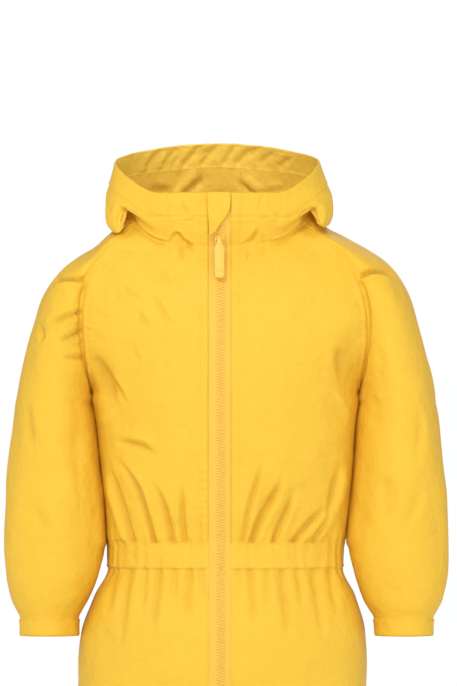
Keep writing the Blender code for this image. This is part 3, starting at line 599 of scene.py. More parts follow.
def half_grid(side, front):
    """A front, or half of the back: rows along the raglan seam, then down to the waist."""
    top = HOOD["z0"][0] + 0.2 if front else HOOD["z180"][0]
    rows = []
    for t in STEPS_DOWN:
        down = t / STEPS_DOWN[-1]
        edge = raglan(side, "f" if front else "b", t)
        middle = top + (UNDERARM - top) * down
        rise = FRONT_RISE[0] + (FRONT_RISE[1] - FRONT_RISE[0]) * down if front else BACK_RISE
        row = section(side, front, middle, ZIP_EDGE[side] if front else 0.0, edge,
                      lambda u: middle + (edge[2] - middle) * u ** rise)
        row[-1] = edge
        rows.append(row)
    neck = NECK[side][:FRONT + 1] if front else NECK[side][FRONT + SLEEVE:][:BACK + 1][::-1]
    return np.concatenate((settle(rows, neck), level_rows(side, front, SIDE_HEIGHTS)))


def all_round(heights):
    """Rows from the right of the zip round the back to its left."""
    parts = (level_rows(-1, True, heights), level_rows(-1, False, heights)[:, ::-1],
             level_rows(1, False, heights), level_rows(1, True, heights)[:, ::-1])
    return np.concatenate((parts[0],) + tuple(part[:, 1:] for part in parts[1:]), axis=1)


FRONTS = {side: half_grid(side, True) for side in (-1, 1)}
BACKS = {side: half_grid(side, False) for side in (-1, 1)}
CASING = all_round(np.linspace(WAIST_TOP, WAIST_LOW, CASING_ROWS + 1))
print("front rows and columns:", FRONTS[1].shape[:2])


# %% Rows of the sleeves
def arm_arc(front, back, outer, half):
    """From the front seam over the outside to the back seam."""
    gap = np.linalg.norm(front - back) / 2
    opening = math.acos(min(1.0, gap / half))
    middle = (front + back) / 2
    out = (outer - middle) / (1 + math.sin(opening))
    across = (front - back) / 2 / math.cos(opening) if gap > 0.5 else np.array((0.0, -half, 0.0))
    angle = -opening + (math.pi + 2 * opening) * np.arange(SLEEVE + 1) / SLEEVE
    return outer - out + across * np.cos(angle)[:, None] + out * np.sin(angle)[:, None]


def arm_ring(side, z):
    inner, outer, half, middle = (float(ARM_AT[side][key](z))
                                  for key in ("inner", "outer", "half", "middle"))
    seam = np.array((inner, middle, z))
    return arm_arc(seam, seam, np.array((outer, middle, z)), half)


def sleeve_grid(side, heights):
    rows = []
    for t in STEPS_DOWN:
        front, back, outer = (raglan(side, part, t) for part in "fbm")
        row = arm_arc(front, back, outer, float(RAGLAN_AT[side]["half"](t)))
        row[0], row[-1] = front, back
        rows.append(row)
    rows = list(settle(rows, NECK[side][FRONT:FRONT + SLEEVE + 1]))
    first = arm_ring(side, heights[0])
    rows += [rows[RAGLAN_ROWS] * (1 - s) + first * s for s in (0.25, 0.5, 0.75)]
    rows += [arm_ring(side, z) for z in heights]
    return np.array(rows)


SLEEVES = {side: sleeve_grid(side, np.linspace(ARM_TOP, CUFF_TOP, SLEEVE_ROWS))
           for side in (-1, 1)}
print("sleeve rows and columns:", SLEEVES[1].shape[:2])

# %% [markdown]
# ## Panels
# The suit's pieces are now listed as grids of points, cut along the same seams
# as the solids. The outward direction at a seam is shared by all panels that
# meet there, so what is added later moves both sides together and the seams
# stay shut.

# %% List the panels
ZIP_HEIGHTS = np.linspace(WAIST_LOW, ZIP_END, 34)
LEG_HEIGHTS = np.concatenate((ZIP_HEIGHTS, np.linspace(ZIP_END - 3, ANKLE_TOP, 92)))
PANELS = {}


def add_panel(name, grid, flip):
    PANELS[name] = {"grid": np.array(grid, float), "flip": flip}


for side, word in SIDE_WORD.items():
    add_panel("body_front_" + word, FRONTS[side], side > 0)
    add_panel("sleeve_" + word, SLEEVES[side], side > 0)
    add_panel("sleeve_hem_" + word,
              [arm_ring(side, z) for z in np.linspace(CUFF_TOP, CUFF_LOW, 9)], side > 0)
    add_panel("trouser_front_" + word, level_rows(side, True, LEG_HEIGHTS), side > 0)
    add_panel("trouser_back_" + word, level_rows(side, False, LEG_HEIGHTS), side < 0)
    ankle = np.linspace(ANKLE_TOP, ANKLE_LOW, 8)
    hem = np.concatenate((level_rows(side, True, ankle),
                          level_rows(side, False, ankle)[:, ::-1][:, 1:]), axis=1)
    add_panel("ankle_hem_" + word, hem, side > 0)
add_panel("body_back", np.concatenate((BACKS[-1][:, ::-1], BACKS[1][:, 1:]), axis=1), False)
add_panel("waist_casing", CASING, False)
CENTRE_FROM = FRONT + SLEEVE + round(BACK * (CENTRE_SEAM - CORNER_BACK) / (180.0 - CORNER_BACK))
CENTRE_TO = HOOD_GRID.shape[1] - 1 - CENTRE_FROM
add_panel("hood_side_right", HOOD_GRID[:-BAND, :CENTRE_FROM + 1], True)
add_panel("hood_centre", HOOD_GRID[:-BAND, CENTRE_FROM:CENTRE_TO + 1], True)
add_panel("hood_side_left", HOOD_GRID[:-BAND, CENTRE_TO:], True)
add_panel("hood_hem", HOOD_GRID[-BAND - 1:], True)
print("panels:", len(PANELS), "points:", sum(p["grid"].shape[0] * p["grid"].shape[1]
                                             for p in PANELS.values()))


# %% Shared outward directions
def unit(vectors):
    return vectors / np.maximum(1e-9, np.linalg.norm(vectors, axis=-1))[..., None]


def own_normals(grid, flip):
    """The outward direction at each point of one panel."""
    face = unit(np.cross(grid[:-1, 1:] - grid[1:, :-1], grid[1:, 1:] - grid[:-1, :-1]))
    total = np.zeros_like(grid)
    rows, columns = grid.shape[:2]
    for dr in (0, 1):
        for dc in (0, 1):
            total[dr:rows - 1 + dr, dc:columns - 1 + dc] += face
    return unit(-total if flip else total)


def share_at_seams(values, places):
    """Averages a value over all panels that meet at a point."""
    total = {}
    for name, value in values.items():
        outer = np.ones(value.shape[:2], bool)
        outer[1:-1, 1:-1] = False
        for i, j in np.argwhere(outer).tolist():
            where = tuple(np.round(places[name][i, j] * 20).astype(int))
            total.setdefault(where, []).append((name, i, j))
    for spots in total.values():
        if len(spots) > 1:
            mean = sum(values[n][i, j] for n, i, j in spots) / len(spots)
            for n, i, j in spots:
                values[n][i, j] = mean


GRIDS = {name: panel["grid"] for name, panel in PANELS.items()}
NORMALS = {name: own_normals(panel["grid"], panel["flip"]) for name, panel in PANELS.items()}
share_at_seams(NORMALS, GRIDS)
NORMALS = {name: unit(value) for name, value in NORMALS.items()}
print("front of the chest looks along:", NORMALS["body_front_right"][60, 40].round(2))

# %% [markdown]
# ## Folds
# Waterproof cloth is light and stiff: it makes few, soft, long creases, and
# short sharp ones where a seam or the waist elastic gathers it. Each one is
# placed as a bent line with a width and a depth, as uneven as the real
# ones. A fold is a trough with a low ridge beside it. It is looked at from one
# side, given as the direction that its cloth faces, so it never goes through
# to the far side of the tube.

# %% Creases of the trunk, in mm
# A row is a bent line, then its width, depth and ridge, and where it isn't 0 its
# strength at the start and end. The line's numbers are x and z by turns, or y and z on
# the right and left side. A depth below 0 is a raised fold, and a ridge below 0 lies on
# the line's other side.
def creases(**rows_by_side):
    """Lists creases as side, points, width, depth, ridge and end strengths."""
    return [(side, np.reshape(line, (-1, 2)), width, depth, ridge, ends or (0, 0))
            for side, rows in rows_by_side.items() for line, width, depth, ridge, *ends in rows]


BODY_CREASES = creases(front=(
    ((-110, -51, -100, -58, -88, -67, -80, -73), 2.5, 2, 0.5),
    ((-90, -78, -82, -89, -74, -100), 2.7, 2.8, 0.6),
    ((-114, -58, -106, -72), 2.8, 1.2, -0.4),
    ((-96, -113, -90, -126, -85, -138), 3.2, 1.5, 0.4),
    ((-64, -132, -52, -143), 3.2, 1.2, 0.4),
    ((-74, -39, -63, -42, -56, -49, -50, -59), 2.5, -1.9, -0.5),
    ((-41, -44, -44, -64), 2.5, -1.2, 0.4),
    ((-73, -57, -66, -71, -59, -85, -48, -100), 2.5, 2.3, 0.6),
    ((-118, -148, -108, -161, -98, -178), 2.8, 3.2, 0.6),
    ((-131, -134, -123, -148, -115, -166, -112, -180), 6.6, 5.7, 0.1, 0.6, 0),
    ((-127, -202, -119, -191, -107, -182), 5.7, -3.2, -0.2),
    ((-114, -216, -97, -218, -82, -222, -66, -233), 3.8, 4.3, 0.9),
    ((-114, -230, -101, -245, -88, -264, -80, -289, -69, -330), 3.4, 5.9, 0.7, 0, 1),
    ((-119, -238, -112, -260, -104, -286, -92, -330), 3.2, 5.4, -1.1, 0, 1),
    ((-75, -254, -63, -276, -56, -299, -52, -330), 3.2, 4.9, 0.6, 0, 1),
    ((-45, -250, -42, -268, -41, -300, -37, -330), 2.5, 4.1, -0.7, 0, 1),
    ((-24, -292, -22, -310, -22, -330), 2.5, 1.4, 0.4, 0, 1),
    ((45, -222, 38, -253, 30, -280, 20, -330), 2.8, 4.3, 0.7, 0, 1),
    ((67, -244, 54, -272, 42, -292, 27, -330), 4, 6.2, 0.6, 0, 1),
    ((78, -260, 67, -288, 58, -308, 51, -330), 3.2, 5.4, 0.7, 0, 1),
    ((112, -284, 95, -298, 82, -312, 69, -330), 3.6, 5.4, 0.7, 0, 1),
    ((112, -298, 101, -312, 93, -330), 2.8, 4.1, 0.6, 0, 1),
    ((124, -236, 118, -264, 111, -298), 3.4, 4.9, 1.1, 0, 0.2),
    ((121, -112, 124, -136, 126, -158), 5.7, 3.5, 0.1, 0, 0.3),
    ((117, -160, 125, -177, 134, -196), 3.4, -3, -0.4),
), back=(
    ((-86, -40, -60, -62, -30, -72), 5.2, 2.4, 0.4),
    ((92, -46, 66, -70, 34, -84), 5.7, 2.7, 0.4),
    ((-128, -150, -104, -176, -70, -190), 5.2, 3.5, 0.5, 1, 0),
    ((130, -152, 110, -182, 84, -202), 5.2, 3.8, 0.5, 1, 0),
    ((-60, -214, -20, -226, 18, -220), 6.6, 3, 0.5),
))
# These cross the neck seam, so the hood and the fronts share them.
NECK_CREASES = creases(front=(
    ((-54, -7, -47, 0, -42, -6, -32, -13, -28, -23), 2.2, 3.5, 0.6, 0.4, 0),
    ((-42, -12, -42, -27), 2.1, 2, -0.5, 1, 0),
    ((-58, -8, -57, -24), 2.3, 1.1, 0.4),
    ((39, 8, 35, 0, 31, -6, 22, -10), 2.2, 3.2, -0.6, 0, 0.3),
    ((44, -4, 43, -24), 2.3, 1.6, 0.5, 0.6, 0),
    ((28, -12, 27, -27), 2.1, 1.4, -0.5, 0.6, 0),
))
print("creases of the trunk:", len(BODY_CREASES), "at the neck:", len(NECK_CREASES))

# %% Creases of the sleeves
SLEEVE_CREASES = creases(front=(
    ((-184, -57, -173, -49, -162, -46, -145, -47), 2.7, 6.8, -0.7, 0, 1),
    ((-184, -92, -172, -89, -160, -85, -144, -81), 2.5, 5.1, -0.7, 0, 1),
    ((-175, -112, -161, -108, -145, -101), 2.5, 5.1, -0.7, 0, 1),
    ((-169, -128, -156, -129, -142, -128), 2.5, 3.5, 0.5, 0, 1),
    ((-197, -92, -190, -98, -188, -106, -193, -115), 2.8, 3.8, -0.4),
    ((-204, -165, -201, -204, -196, -231), 4.8, 2.7, 0.4),
    ((-150, -176, -152, -230, -146, -290), 6.6, 2.4, 0.3),
    ((-202, -268, -190, -296, -174, -318), 6.6, 2.4, 0.4),
    ((146, -43, 157, -38, 171, -39, 188, -48), 2.7, 6.8, -0.7, 1, 0),
    ((152, -74, 166, -72, 182, -78), 4.8, 1.2, 0.4),
    ((160, -110, 166, -132, 164, -160), 4.8, 1.5, 0.4),
    ((208, -180, 206, -210, 201, -240), 4.8, 2.7, 0.4),
    ((166, -236, 172, -276, 168, -312), 6.6, 2, 0.3),
    ((208, -262, 198, -290, 184, -316), 6.6, 2.4, 0.4),
), back=(
    ((-186, -50, -170, -42, -150, -48), 4.3, 3.2, 0.8, 0, 1),
    ((-190, -104, -168, -108, -146, -100), 4.3, 3.2, 0.6, 0, 1),
    ((-200, -240, -176, -262, -150, -268), 5.7, 3.2, 0.5),
    ((190, -50, 172, -40, 150, -46), 4.3, 3.2, 0.8, 0, 1),
    ((196, -100, 172, -112, 150, -106), 4.3, 3.2, 0.6, 0, 1),
    ((206, -236, 182, -254, 158, -250), 5.7, 3.2, 0.5),
), right=(
    ((12, -97, 26, -104, 42, -100), 4.4, 2.5, 0.5),
    ((10, -258, 24, -269, 41, -262), 5, 2.5, 0.5),
), left=(
    ((12, -112, 26, -118, 42, -109), 4.4, 2.5, 0.5),
    ((10, -250, 24, -262, 41, -257), 5, 2.5, 0.5),
))
print("creases of the sleeves:", len(SLEEVE_CREASES))

# %% Creases of the hood
HOOD_CREASES = creases(inside=(
    ((-79, 75, -73, 83, -66, 91), 3, 2.7, 0.7, 1, 0.6),
    ((-62, 76, -56, 83, -50, 92), 2.8, 2.3, 0.6, 1, 0.6),
    ((-52, 77, -44, 87), 2.5, 1.5, 0.5, 1, 0),
    ((-41, 77, -33, 86, -25, 95), 3, 2.8, 0.7, 1, 0.7),
    ((-21, 78, -14, 87, -6, 97), 3.2, 2.7, 0.7, 1, 0.7),
    ((3, 79, 9, 88, 14, 97), 3, 2.4, 0.6, 1, 0.6),
    ((16, 79, 26, 88, 38, 95), 3.4, 2.7, 0.7, 1, 0.6),
    ((42, 79, 50, 86, 58, 91), 3, 1.9, 0.5, 1, 0),
    ((62, 75, 70, 81, 76, 85), 3, 1.9, 0.5, 1, 0),
    ((-16, 67, -27, 57, -40, 45), 3.8, 4.9, -0.9, 0, 1),
    ((17, 59, 24, 53, 32, 45), 3.8, 4.6, 0.9, 0, 1),
    ((-80, 51, -66, 48, -50, 47), 4.8, 4.1, 0.3),
    ((20, 58, 27, 51, 40, 47, 56, 48, 72, 54), 2.5, 3.2, 0.6, 0.4, 0),
    ((-56, 78, -58, 86, -57, 94), 2.1, 1.4, 0.4),
    ((28, 80, 33, 88, 44, 95), 2.3, 1.9, 0.5),
    ((-30, 82, -22, 88, -12, 97), 2.3, 1.9, 0.5),
), front=(
    ((-88, 28, -72, 20, -56, 17), 3.2, 1.8, 0.5),
    ((-60, 36, -57, 20, -58, 6), 3, 1.2, 0.5),
    ((-42, 36, -39, 25, -32, 17), 2.3, 1.9, 0.5),
    ((-46, 15, -34, 14, -24, 17), 2.1, 1.2, 0.4),
    ((-24, 38, -25, 16, -23, 0), 2.5, 1.1, 0.5, 0.5, 0),
    ((44, 41, 40, 31, 36, 24), 2.3, 1.8, 0.5, 0.4, 0),
    ((52, 20, 44, 18, 36, 12), 2.2, 1.8, 0.5),
    ((22, 38, 21, 20, 23, 2), 2.5, 1.1, -0.5, 0.5, 0),
    ((88, 34, 76, 24, 60, 18), 3.2, 1.6, 0.5),
    ((64, 34, 60, 20, 57, 8), 3, 1.1, 0.5),
), back=(
    ((-70, 40, -40, 10, -12, -20), 6.6, 4.1, 0.5),
    ((66, 36, 40, 4, 16, -28), 6.6, 4.1, 0.5),
    ((-90, 20, -70, -30, -44, -64), 6.6, 3.5, 0.5),
    ((84, 24, 66, -26, 38, -62), 6.6, 3.5, 0.5),
))
print("creases of the hood:", len(HOOD_CREASES))

# %% Creases of the trousers
LEG_CREASES = creases(front=(
    ((-8, -500, -30, -528, -58, -548), 6.5, 3.2, 0.5, 1, 0),
    ((8, -498, 34, -524, 64, -540), 6.5, 3.2, 0.5, 1, 0),
    ((-118, -690, -86, -704, -52, -696), 7, 2.8, 0.6),
    ((50, -684, 84, -698, 116, -688), 7, 2.8, 0.6),
    ((-110, -806, -84, -818, -56, -812), 6, 2.4, 0.6),
    ((54, -800, 86, -816, 112, -808), 6, 2.4, 0.6),
), back=(
    ((-6, -520, -34, -552, -70, -566), 6.5, 3, 0.5, 1, 0),
    ((8, -518, 40, -546, 76, -560), 6.5, 3, 0.5, 1, 0),
    ((-120, -676, -84, -690, -50, -680), 7, 3, 0.6),
    ((48, -690, 82, -704, 118, -696), 7, 3, 0.6),
))
print("creases of the trousers:", len(LEG_CREASES))

# %% [markdown]
# The waist elastic draws the cloth into gathers that run up and down from it.
# On the fronts they are placed one by one, like the creases. On the back and
# the legs each gather is a row of a table: where it starts, how far it runs,
# how much it leans, its width and its depth. No two neighbours are alike.

# %% Gathers at the waist
BACK_GATHERS = table("x far lean width depth", (
    (-112, 44, 10, 4.0, 2.4), (-94, 78, 16, 4.4, 3.2), (-79, 36, 8, 3.6, 2.2),
    (-63, 92, 12, 4.6, 3.4), (-48, 52, 4, 3.8, 2.6), (-31, 70, 6, 4.2, 3.0),
    (-15, 38, 0, 3.6, 2.2), (4, 84, -4, 4.4, 3.2), (20, 46, -4, 3.8, 2.4),
    (37, 66, -8, 4.2, 3.0), (54, 94, -10, 4.6, 3.4), (70, 40, -6, 3.6, 2.4),
    (88, 72, -14, 4.2, 3.0), (108, 46, -10, 4.0, 2.4),
))
LEG_GATHERS = table("x far lean width depth", (
    (-112, 52, -8, 4.2, 2.6), (-97, 84, -10, 4.6, 3.4), (-80, 46, -4, 3.8, 2.4),
    (-66, 74, -8, 4.4, 3.2), (-49, 40, -2, 3.6, 2.2), (-33, 62, -4, 4.2, 3.0),
    (-20, 34, 0, 3.2, 1.8), (17, 36, 2, 3.4, 1.8), (30, 68, 4, 4.2, 3.0),
    (46, 44, 2, 3.6, 2.4), (62, 80, 8, 4.6, 3.4), (79, 42, 6, 3.8, 2.4),
    (96, 76, 10, 4.4, 3.2), (113, 50, 8, 4.0, 2.4),
))


def fan(gathers, start, away):
    """Crease rows of gathers that start at the waist and die away from it."""
    return [((x, start, x + lean / 2, start + away * far / 2, x + lean, start + away * far),
             width, depth, 0.5, 1, 0) for x, far, lean, width, depth in zip(*gathers.values())]


LEG_FAN = fan(LEG_GATHERS, WAIST_LOW, -1)
CREASES = {
    "body": BODY_CREASES + NECK_CREASES + creases(back=fan(BACK_GATHERS, WAIST_TOP, 1)),
    "sleeve": SLEEVE_CREASES,
    "hood": HOOD_CREASES + NECK_CREASES,
    "trouser": LEG_CREASES + creases(front=LEG_FAN, back=LEG_FAN),
}
print("creases and gathers:", sum(len(rows) for rows in CREASES.values()))


# %% Distance from a bent line
def bend(points, steps=24):
    """A smooth line through a crease's few points."""
    points = np.array(points, float)
    if len(points) == 2:
        return points
    span = length_along(points)
    q = np.linspace(0, span[-1], steps)
    return np.stack([rounded_line(span, points[:, i], q) for i in (0, 1)], axis=1)


def beside(flat, line):
    """Distance from a line, positive on its left, and how far along it, 0 to 1."""
    before = length_along(line)
    best = np.full(len(flat), np.inf)
    signed = np.zeros(len(flat))
    along = np.zeros(len(flat))
    for i, step in enumerate(np.diff(line, axis=0)):
        off = flat - line[i]
        long = before[i + 1] - before[i]
        t = np.clip(off @ step / long ** 2, 0, 1)
        distance = np.linalg.norm(off - t[:, None] * step, axis=1)
        near = distance < best
        best[near] = distance[near]
        side = np.sign(step[0] * off[:, 1] - step[1] * off[:, 0])
        signed[near] = (distance * side)[near]
        along[near] = ((before[i] + t * long) / before[-1])[near]
    return signed, along


print("points of a bent line:", len(bend(BODY_CREASES[0][1])))

# %% How a crease moves the cloth
# for each side that a crease is seen from: the axis across it, and where its cloth faces
LOOK = {"front": (0, (0, -1, 0)), "back": (0, (0, 1, 0)), "inside": (0, (0, 1, 0)),
        "right": (1, (-1, 0, 0)), "left": (1, (1, 0, 0))}
TAPER = 0.4             # share of a crease's length over which an end dies away
THIN_END = 0.7          # how wide a crease is at its end
CREST = 0.7             # height of the ridge for a ridge of 1
CREST_OFF = 1.9         # its distance from the trough, in widths of the crease
CREST_WIDE = 1.3
INSIDE_FROM = 30        # the hood's inside starts this far back


def crease_move(crease, points, normals):
    """How far one crease moves each point, outward, and how much painted shade it gets in the
    crease.
    """
    facing, line, width, depth, ridge, (first, last) = crease
    axis, toward = LOOK[facing]
    flat = points[:, [axis, 2]]
    line = bend(line)
    reach = 4 * width
    low, high = line.min(axis=0) - reach, line.max(axis=0) + reach
    weight = ease((normals @ np.array(toward, float) - 0.05) / 0.3)
    if facing == "inside":
        weight = weight * (points[:, 1] > INSIDE_FROM)
    elif axis == 1:
        weight = weight * (points[:, 0] * toward[0] > 0)
    near = ((flat > low) & (flat < high)).all(axis=1) & (weight > 0)
    move = np.zeros(len(points))
    sunk = np.zeros(len(points))
    if not near.any():
        return move, sunk
    off, along = beside(flat[near], line)
    taper = 1 - (1 - first) * (1 - ease(along / TAPER))
    taper = taper * (1 - (1 - last) * ease((along - 1 + TAPER) / TAPER))
    thin = width * (THIN_END + (1 - THIN_END) * taper)
    trough = -bell(off, thin)
    off = math.copysign(1, ridge) * off - CREST_OFF * thin
    crest = abs(ridge) * CREST * bell(off, CREST_WIDE * thin)
    move[near] = depth * taper * (trough + crest) * weight[near]
    # painted shade: the trough's depth sets how much darker its colour is painted
    sunk[near] = max(0.0, depth) * taper * -trough * weight[near]
    return (-move if facing == "inside" else move), sunk


print("sides that creases are seen from:", sorted(LOOK))

# %% [markdown]
# Between the creases the cloth isn't quite smooth either. A sum of many long
# low waves in all directions gives it the soft unevenness that breaks up the
# light. It depends only on where a point is, so it also agrees at the seams.

# %% Soft waves
WAVES = np.random.default_rng(11)
WAVE_WAY = unit(WAVES.normal(size=(26, 3)))
WAVE_LONG = WAVES.uniform(26, 90, 26)
WAVE_START = WAVES.uniform(0, 2 * math.pi, 26)
WAVE_HIGH = 0.15 * (WAVE_LONG / 60) ** 1.2


def soft_waves(points):
    phase = points @ (WAVE_WAY * (2 * math.pi / WAVE_LONG)[:, None]).T + WAVE_START
    return (np.sin(phase) * WAVE_HIGH).sum(axis=1)


print("waves:", len(WAVE_LONG))

# %% Puckers of the waist elastic
ELASTIC_HIGH = 0.75
ELASTIC_REACH = 12.0    # how far past the casing the puckers run
ZIP_MIDDLE = -2.5


def elastic(points):
    """Small puckers that the waist elastic draws, strongest at its two seams."""
    turn = np.arctan2(points[:, 0], -points[:, 1])
    z = points[:, 2]
    away = np.maximum(0, np.maximum(z - WAIST_TOP, WAIST_LOW - z))
    seam = np.minimum(np.abs(z - WAIST_TOP), np.abs(z - WAIST_LOW))
    strength = bell(away, ELASTIC_REACH) * (0.55 + 0.45 * bell(seam, 5))
    ripple = (np.sin(46 * turn + 2.1 * np.sin(5 * turn))
              + 0.6 * np.sin(71 * turn + 1.3 * np.sin(9 * turn)))
    from_zip = ease((np.abs(points[:, 0] - ZIP_MIDDLE) - 12) / 8) + (points[:, 1] > 0)
    return ELASTIC_HIGH * strength * ripple * np.clip(from_zip, 0, 1)


print("highest pucker in mm:", round(float(elastic(CASING.reshape(-1, 3)).max()), 2))

# %% Hollows
# (panels, centre across and up, reach across and up, depth)
HOLLOWS = (
    ("body", -124, -146, 10, 18, 2.6), ("body", 133, -132, 13, 27, 4.0),
    ("body", -101, 6, 13, 9, 4.0), ("body", 95, 8, 13, 9, 4.0),
    ("sleeve", -112, 8, 14, 10, 5.0), ("sleeve", 106, 10, 14, 10, 5.0),
    ("body", -60, -150, 44, 60, -1.6), ("body", 62, -160, 46, 66, -1.6),
    ("hood", -100, 17, 10, 9, 6.0), ("hood", 93, 19, 10, 9, 6.0),
)


def hollow_move(kind, points, normals):
    """Wide hollows of the front, at the armpits, under the hood and on the chest."""
    total = np.zeros(len(points))
    for part, x, z, wide, high, depth in HOLLOWS:
        if part == kind:
            far = ((points[:, 0] - x) / wide) ** 2 + ((points[:, 2] - z) / high) ** 2
            total -= depth * np.exp(-far) * ease((-normals[:, 1] + 0.2) / 0.5)
    return total


print("hollows:", len(HOLLOWS))

# %% [markdown]
# ## Seams
# Where two panels are sewn, both sink a little to the stitch line. On the side
# that is topstitched, the folded allowance inside lifts the cloth in a narrow
# band. So a seam is a profile across the distance from the panel's edge.

# %% Seam profiles
# kind: depth at the seam, lift of the allowance, its width, sinking beyond it
SEAMS = {
    "raglan_body": (0.1, 1.0, 5.5, 0.0), "raglan_sleeve": (0.1, 0.0, 0.0, 3.0),
    "neck_hood": (0.6, 0.9, 5.0, 0.0), "neck_body": (0.6, 0.0, 0.0, 2.6),
    "hood_seam": (0.3, 0.4, 5.0, 0.0), "plain": (0.3, 0.0, 0.0, 0.2),
    "casing": (0.8, 0.6, 3.0, 0.0), "gathered": (0.8, 0.0, 0.0, 0.8),
    "band": (0.3, 0.5, 4.0, 0.0), "under_band": (0.3, 0.0, 0.0, 0.2),
    "rolled": (0.4, 0.4, 4.0, 0.0), "zip": (0.0, 0.3, 8.0, 0.0),
}
GROOVED = ("raglan", "neck", "casing", "gathered")    # kinds that show as a line


def seam_profile(kind, d):
    dip, lift, wide, sink = SEAMS[kind]
    height = -dip * bell(d, 1.7) - sink * bell(d - 2.4, 2.6)
    if lift:
        height = height + lift * ease(d / 1.6) * (1 - ease((d - wide + 1.2) / 2.4))
    return height


def seam_strength(kind, x, y, z):
    """A seam lies almost flat where the photograph shows no line."""
    if kind.startswith("raglan"):
        return 0.15 + 0.85 * ease((-38 - z) / 14)
    if kind.startswith("neck"):
        from_zip = ease((np.abs(x - ZIP_MIDDLE) - 50) / 12)
        return np.where(y < 0, 0.1 + 0.9 * from_zip, 1.0)
    return np.ones_like(x)


def edge_distances(grid):
    """Distance of each point from the panel's edges, measured on the cloth."""
    across = np.linalg.norm(np.diff(grid, axis=1), axis=2)
    down = np.linalg.norm(np.diff(grid, axis=0), axis=2)
    first = np.pad(np.cumsum(across, axis=1), ((0, 0), (1, 0)))
    top = np.pad(np.cumsum(down, axis=0), ((1, 0), (0, 0)))
    return {"first": first, "last": first[:, -1:] - first, "top": top, "bottom": top[-1:] - top}


print("kinds of seam:", len(SEAMS))

# %% Which seam runs along each edge
# panel: edge, kind, and where it isn't the whole edge its first and last row
LAST = 10 ** 6
UPPER = (0, RAGLAN_ROWS)
HOOD_ENDS = (("top", "neck_hood"), ("bottom", "under_band"))
HEM = (("top", "casing"), ("bottom", "rolled"))
SEWN = {
    "body_front": (("first", "zip"), ("last", "raglan_body", *UPPER),
                   ("last", "plain", RAGLAN_ROWS, LAST), ("top", "neck_body"),
                   ("bottom", "gathered")),
    "body_back": (("first", "raglan_body", *UPPER), ("last", "raglan_body", *UPPER),
                  ("top", "neck_body"), ("bottom", "gathered")),
    "sleeve_hem": HEM,
    "sleeve": (("first", "raglan_sleeve", *UPPER), ("last", "raglan_sleeve", *UPPER),
               ("top", "neck_body"), ("bottom", "gathered")),
    "ankle_hem": HEM,
    "waist_casing": (("top", "casing"), ("bottom", "casing")),
    "trouser_front": (("top", "gathered"), ("last", "plain"),
                      ("first", "plain", len(ZIP_HEIGHTS) + 2, LAST), ("bottom", "gathered")),
    "trouser_back": (("top", "gathered"), ("first", "plain"), ("bottom", "gathered")),
    "hood_side_right": HOOD_ENDS + (("first", "zip"), ("last", "hood_seam")),
    "hood_side_left": HOOD_ENDS + (("last", "zip"), ("first", "hood_seam")),
    "hood_centre": HOOD_ENDS + (("first", "plain"), ("last", "plain")),
    "hood_hem": (("top", "band"), ("bottom", "rolled"), ("first", "zip"), ("last", "zip")),
}


def by_start(rows, name):
    """The entry for a panel in a table that goes by the start of the name."""
    return next((entry for start, entry in rows.items() if name.startswith(start)), ())


def seam_move(name, grid, distances):
    """Height added by the seams, the distance from the nearest one that shows as
    a line, and how much painted shade each point gets beside them."""
    shape = distances["top"].shape
    edges = {"top": grid[:1], "bottom": grid[-1:], "first": grid[:, :1], "last": grid[:, -1:]}
    total = np.zeros(shape)
    dip = np.zeros(shape)
    nearest = np.full(shape, 60.0)
    row = np.arange(shape[0])[:, None]
    for edge, kind, *rows in by_start(SEWN, name):
        first, last = rows or (0, LAST)
        strength = seam_strength(kind, *np.moveaxis(edges[edge], -1, 0))
        if first > 0:
            strength = strength * ease((row - first) / 4)
        if last < shape[0] - 1:
            strength = strength * ease((last - row) / 4)
        total += seam_profile(kind, distances[edge]) * strength
        # painted shade beside a seam that sinks
        dip += SEAMS[kind][3] * strength * bell(distances[edge] - 2.6, 2.8)
        if kind.startswith(GROOVED):
            closer = np.minimum(nearest, distances[edge])
            nearest = np.where(strength > 0.5, closer, nearest)
    return total, nearest, dip


print("seams of a front:", [row[1] for row in by_start(SEWN, "body_front_left")])

# %% Puckers that thread draws in the cloth beside it
# panel: edge, from what height down to what height, how high the puckers are
PUCKERS = {"body_front_right": ("last", -62, -120, 0.85),
           "body_front_left": ("last", -62, -164, 0.85),
           "body_back": ("last", -60, -140, 0.6)}
PUCKER_STEP = 6.8
ZIP_PUCKER_STEP = 8.2


def pucker_move(name, grid, distances):
    """Puckers along the raglan seams."""
    if name not in PUCKERS:
        return 0.0
    edge, high, low, size = PUCKERS[name]
    along = distances["top"][:, -1:]
    z = grid[:, -1:, 2]
    where = ease((high - z) / 12) * ease((z - low) / 12)
    wobble = along + 2.2 * np.sin(along / 9.0) + 1.2 * np.sin(along / 3.7)
    wave = np.sin(wobble * 2 * math.pi / PUCKER_STEP)
    return size * where * wave * bell(distances[edge] - 8.0, 4.5)


def zip_puckers(grid):
    """Short level puckers beside the lower zip, on the wearer's right."""
    x, z = grid[..., 0], grid[..., 2]
    where = ease((-205 - z) / 40) * ease((z + 318) / 12) * bell(x + 19, 7.5)
    return 0.42 * where * np.sin(z * 2 * math.pi / ZIP_PUCKER_STEP + 1.4 * np.sin(z / 11))


print("panels with puckered seams:", sorted(PUCKERS))

# %% [markdown]
# A hanging sleeve lies against the trunk, and the two press into each other a
# little, so no light shows between them. Deep between them little light
# arrives, so shade is painted there as a deeper colour, as it is in every
# crease.

# %% Where a sleeve lies against the trunk
# how far trunk and sleeve each swell, by height
TOUCH = smooth_line((-330, -318, -300, -282, -262, -240, -215, -200, -182, -172, -165),
                    (2.5, 2.3, 1.8, 1.2, 1.1, 1.0, 1.1, 1.4, 2.2, 2.0, 0.0))
FULL_SHADE_DEPTH = 6.0        # depth at which the painted shade is full
VALLEY_SHADE = {"body": (0.112, 0.04), "sleeve": (0.28, 0.1)}    # painted shade in the gap, wearer's right and left
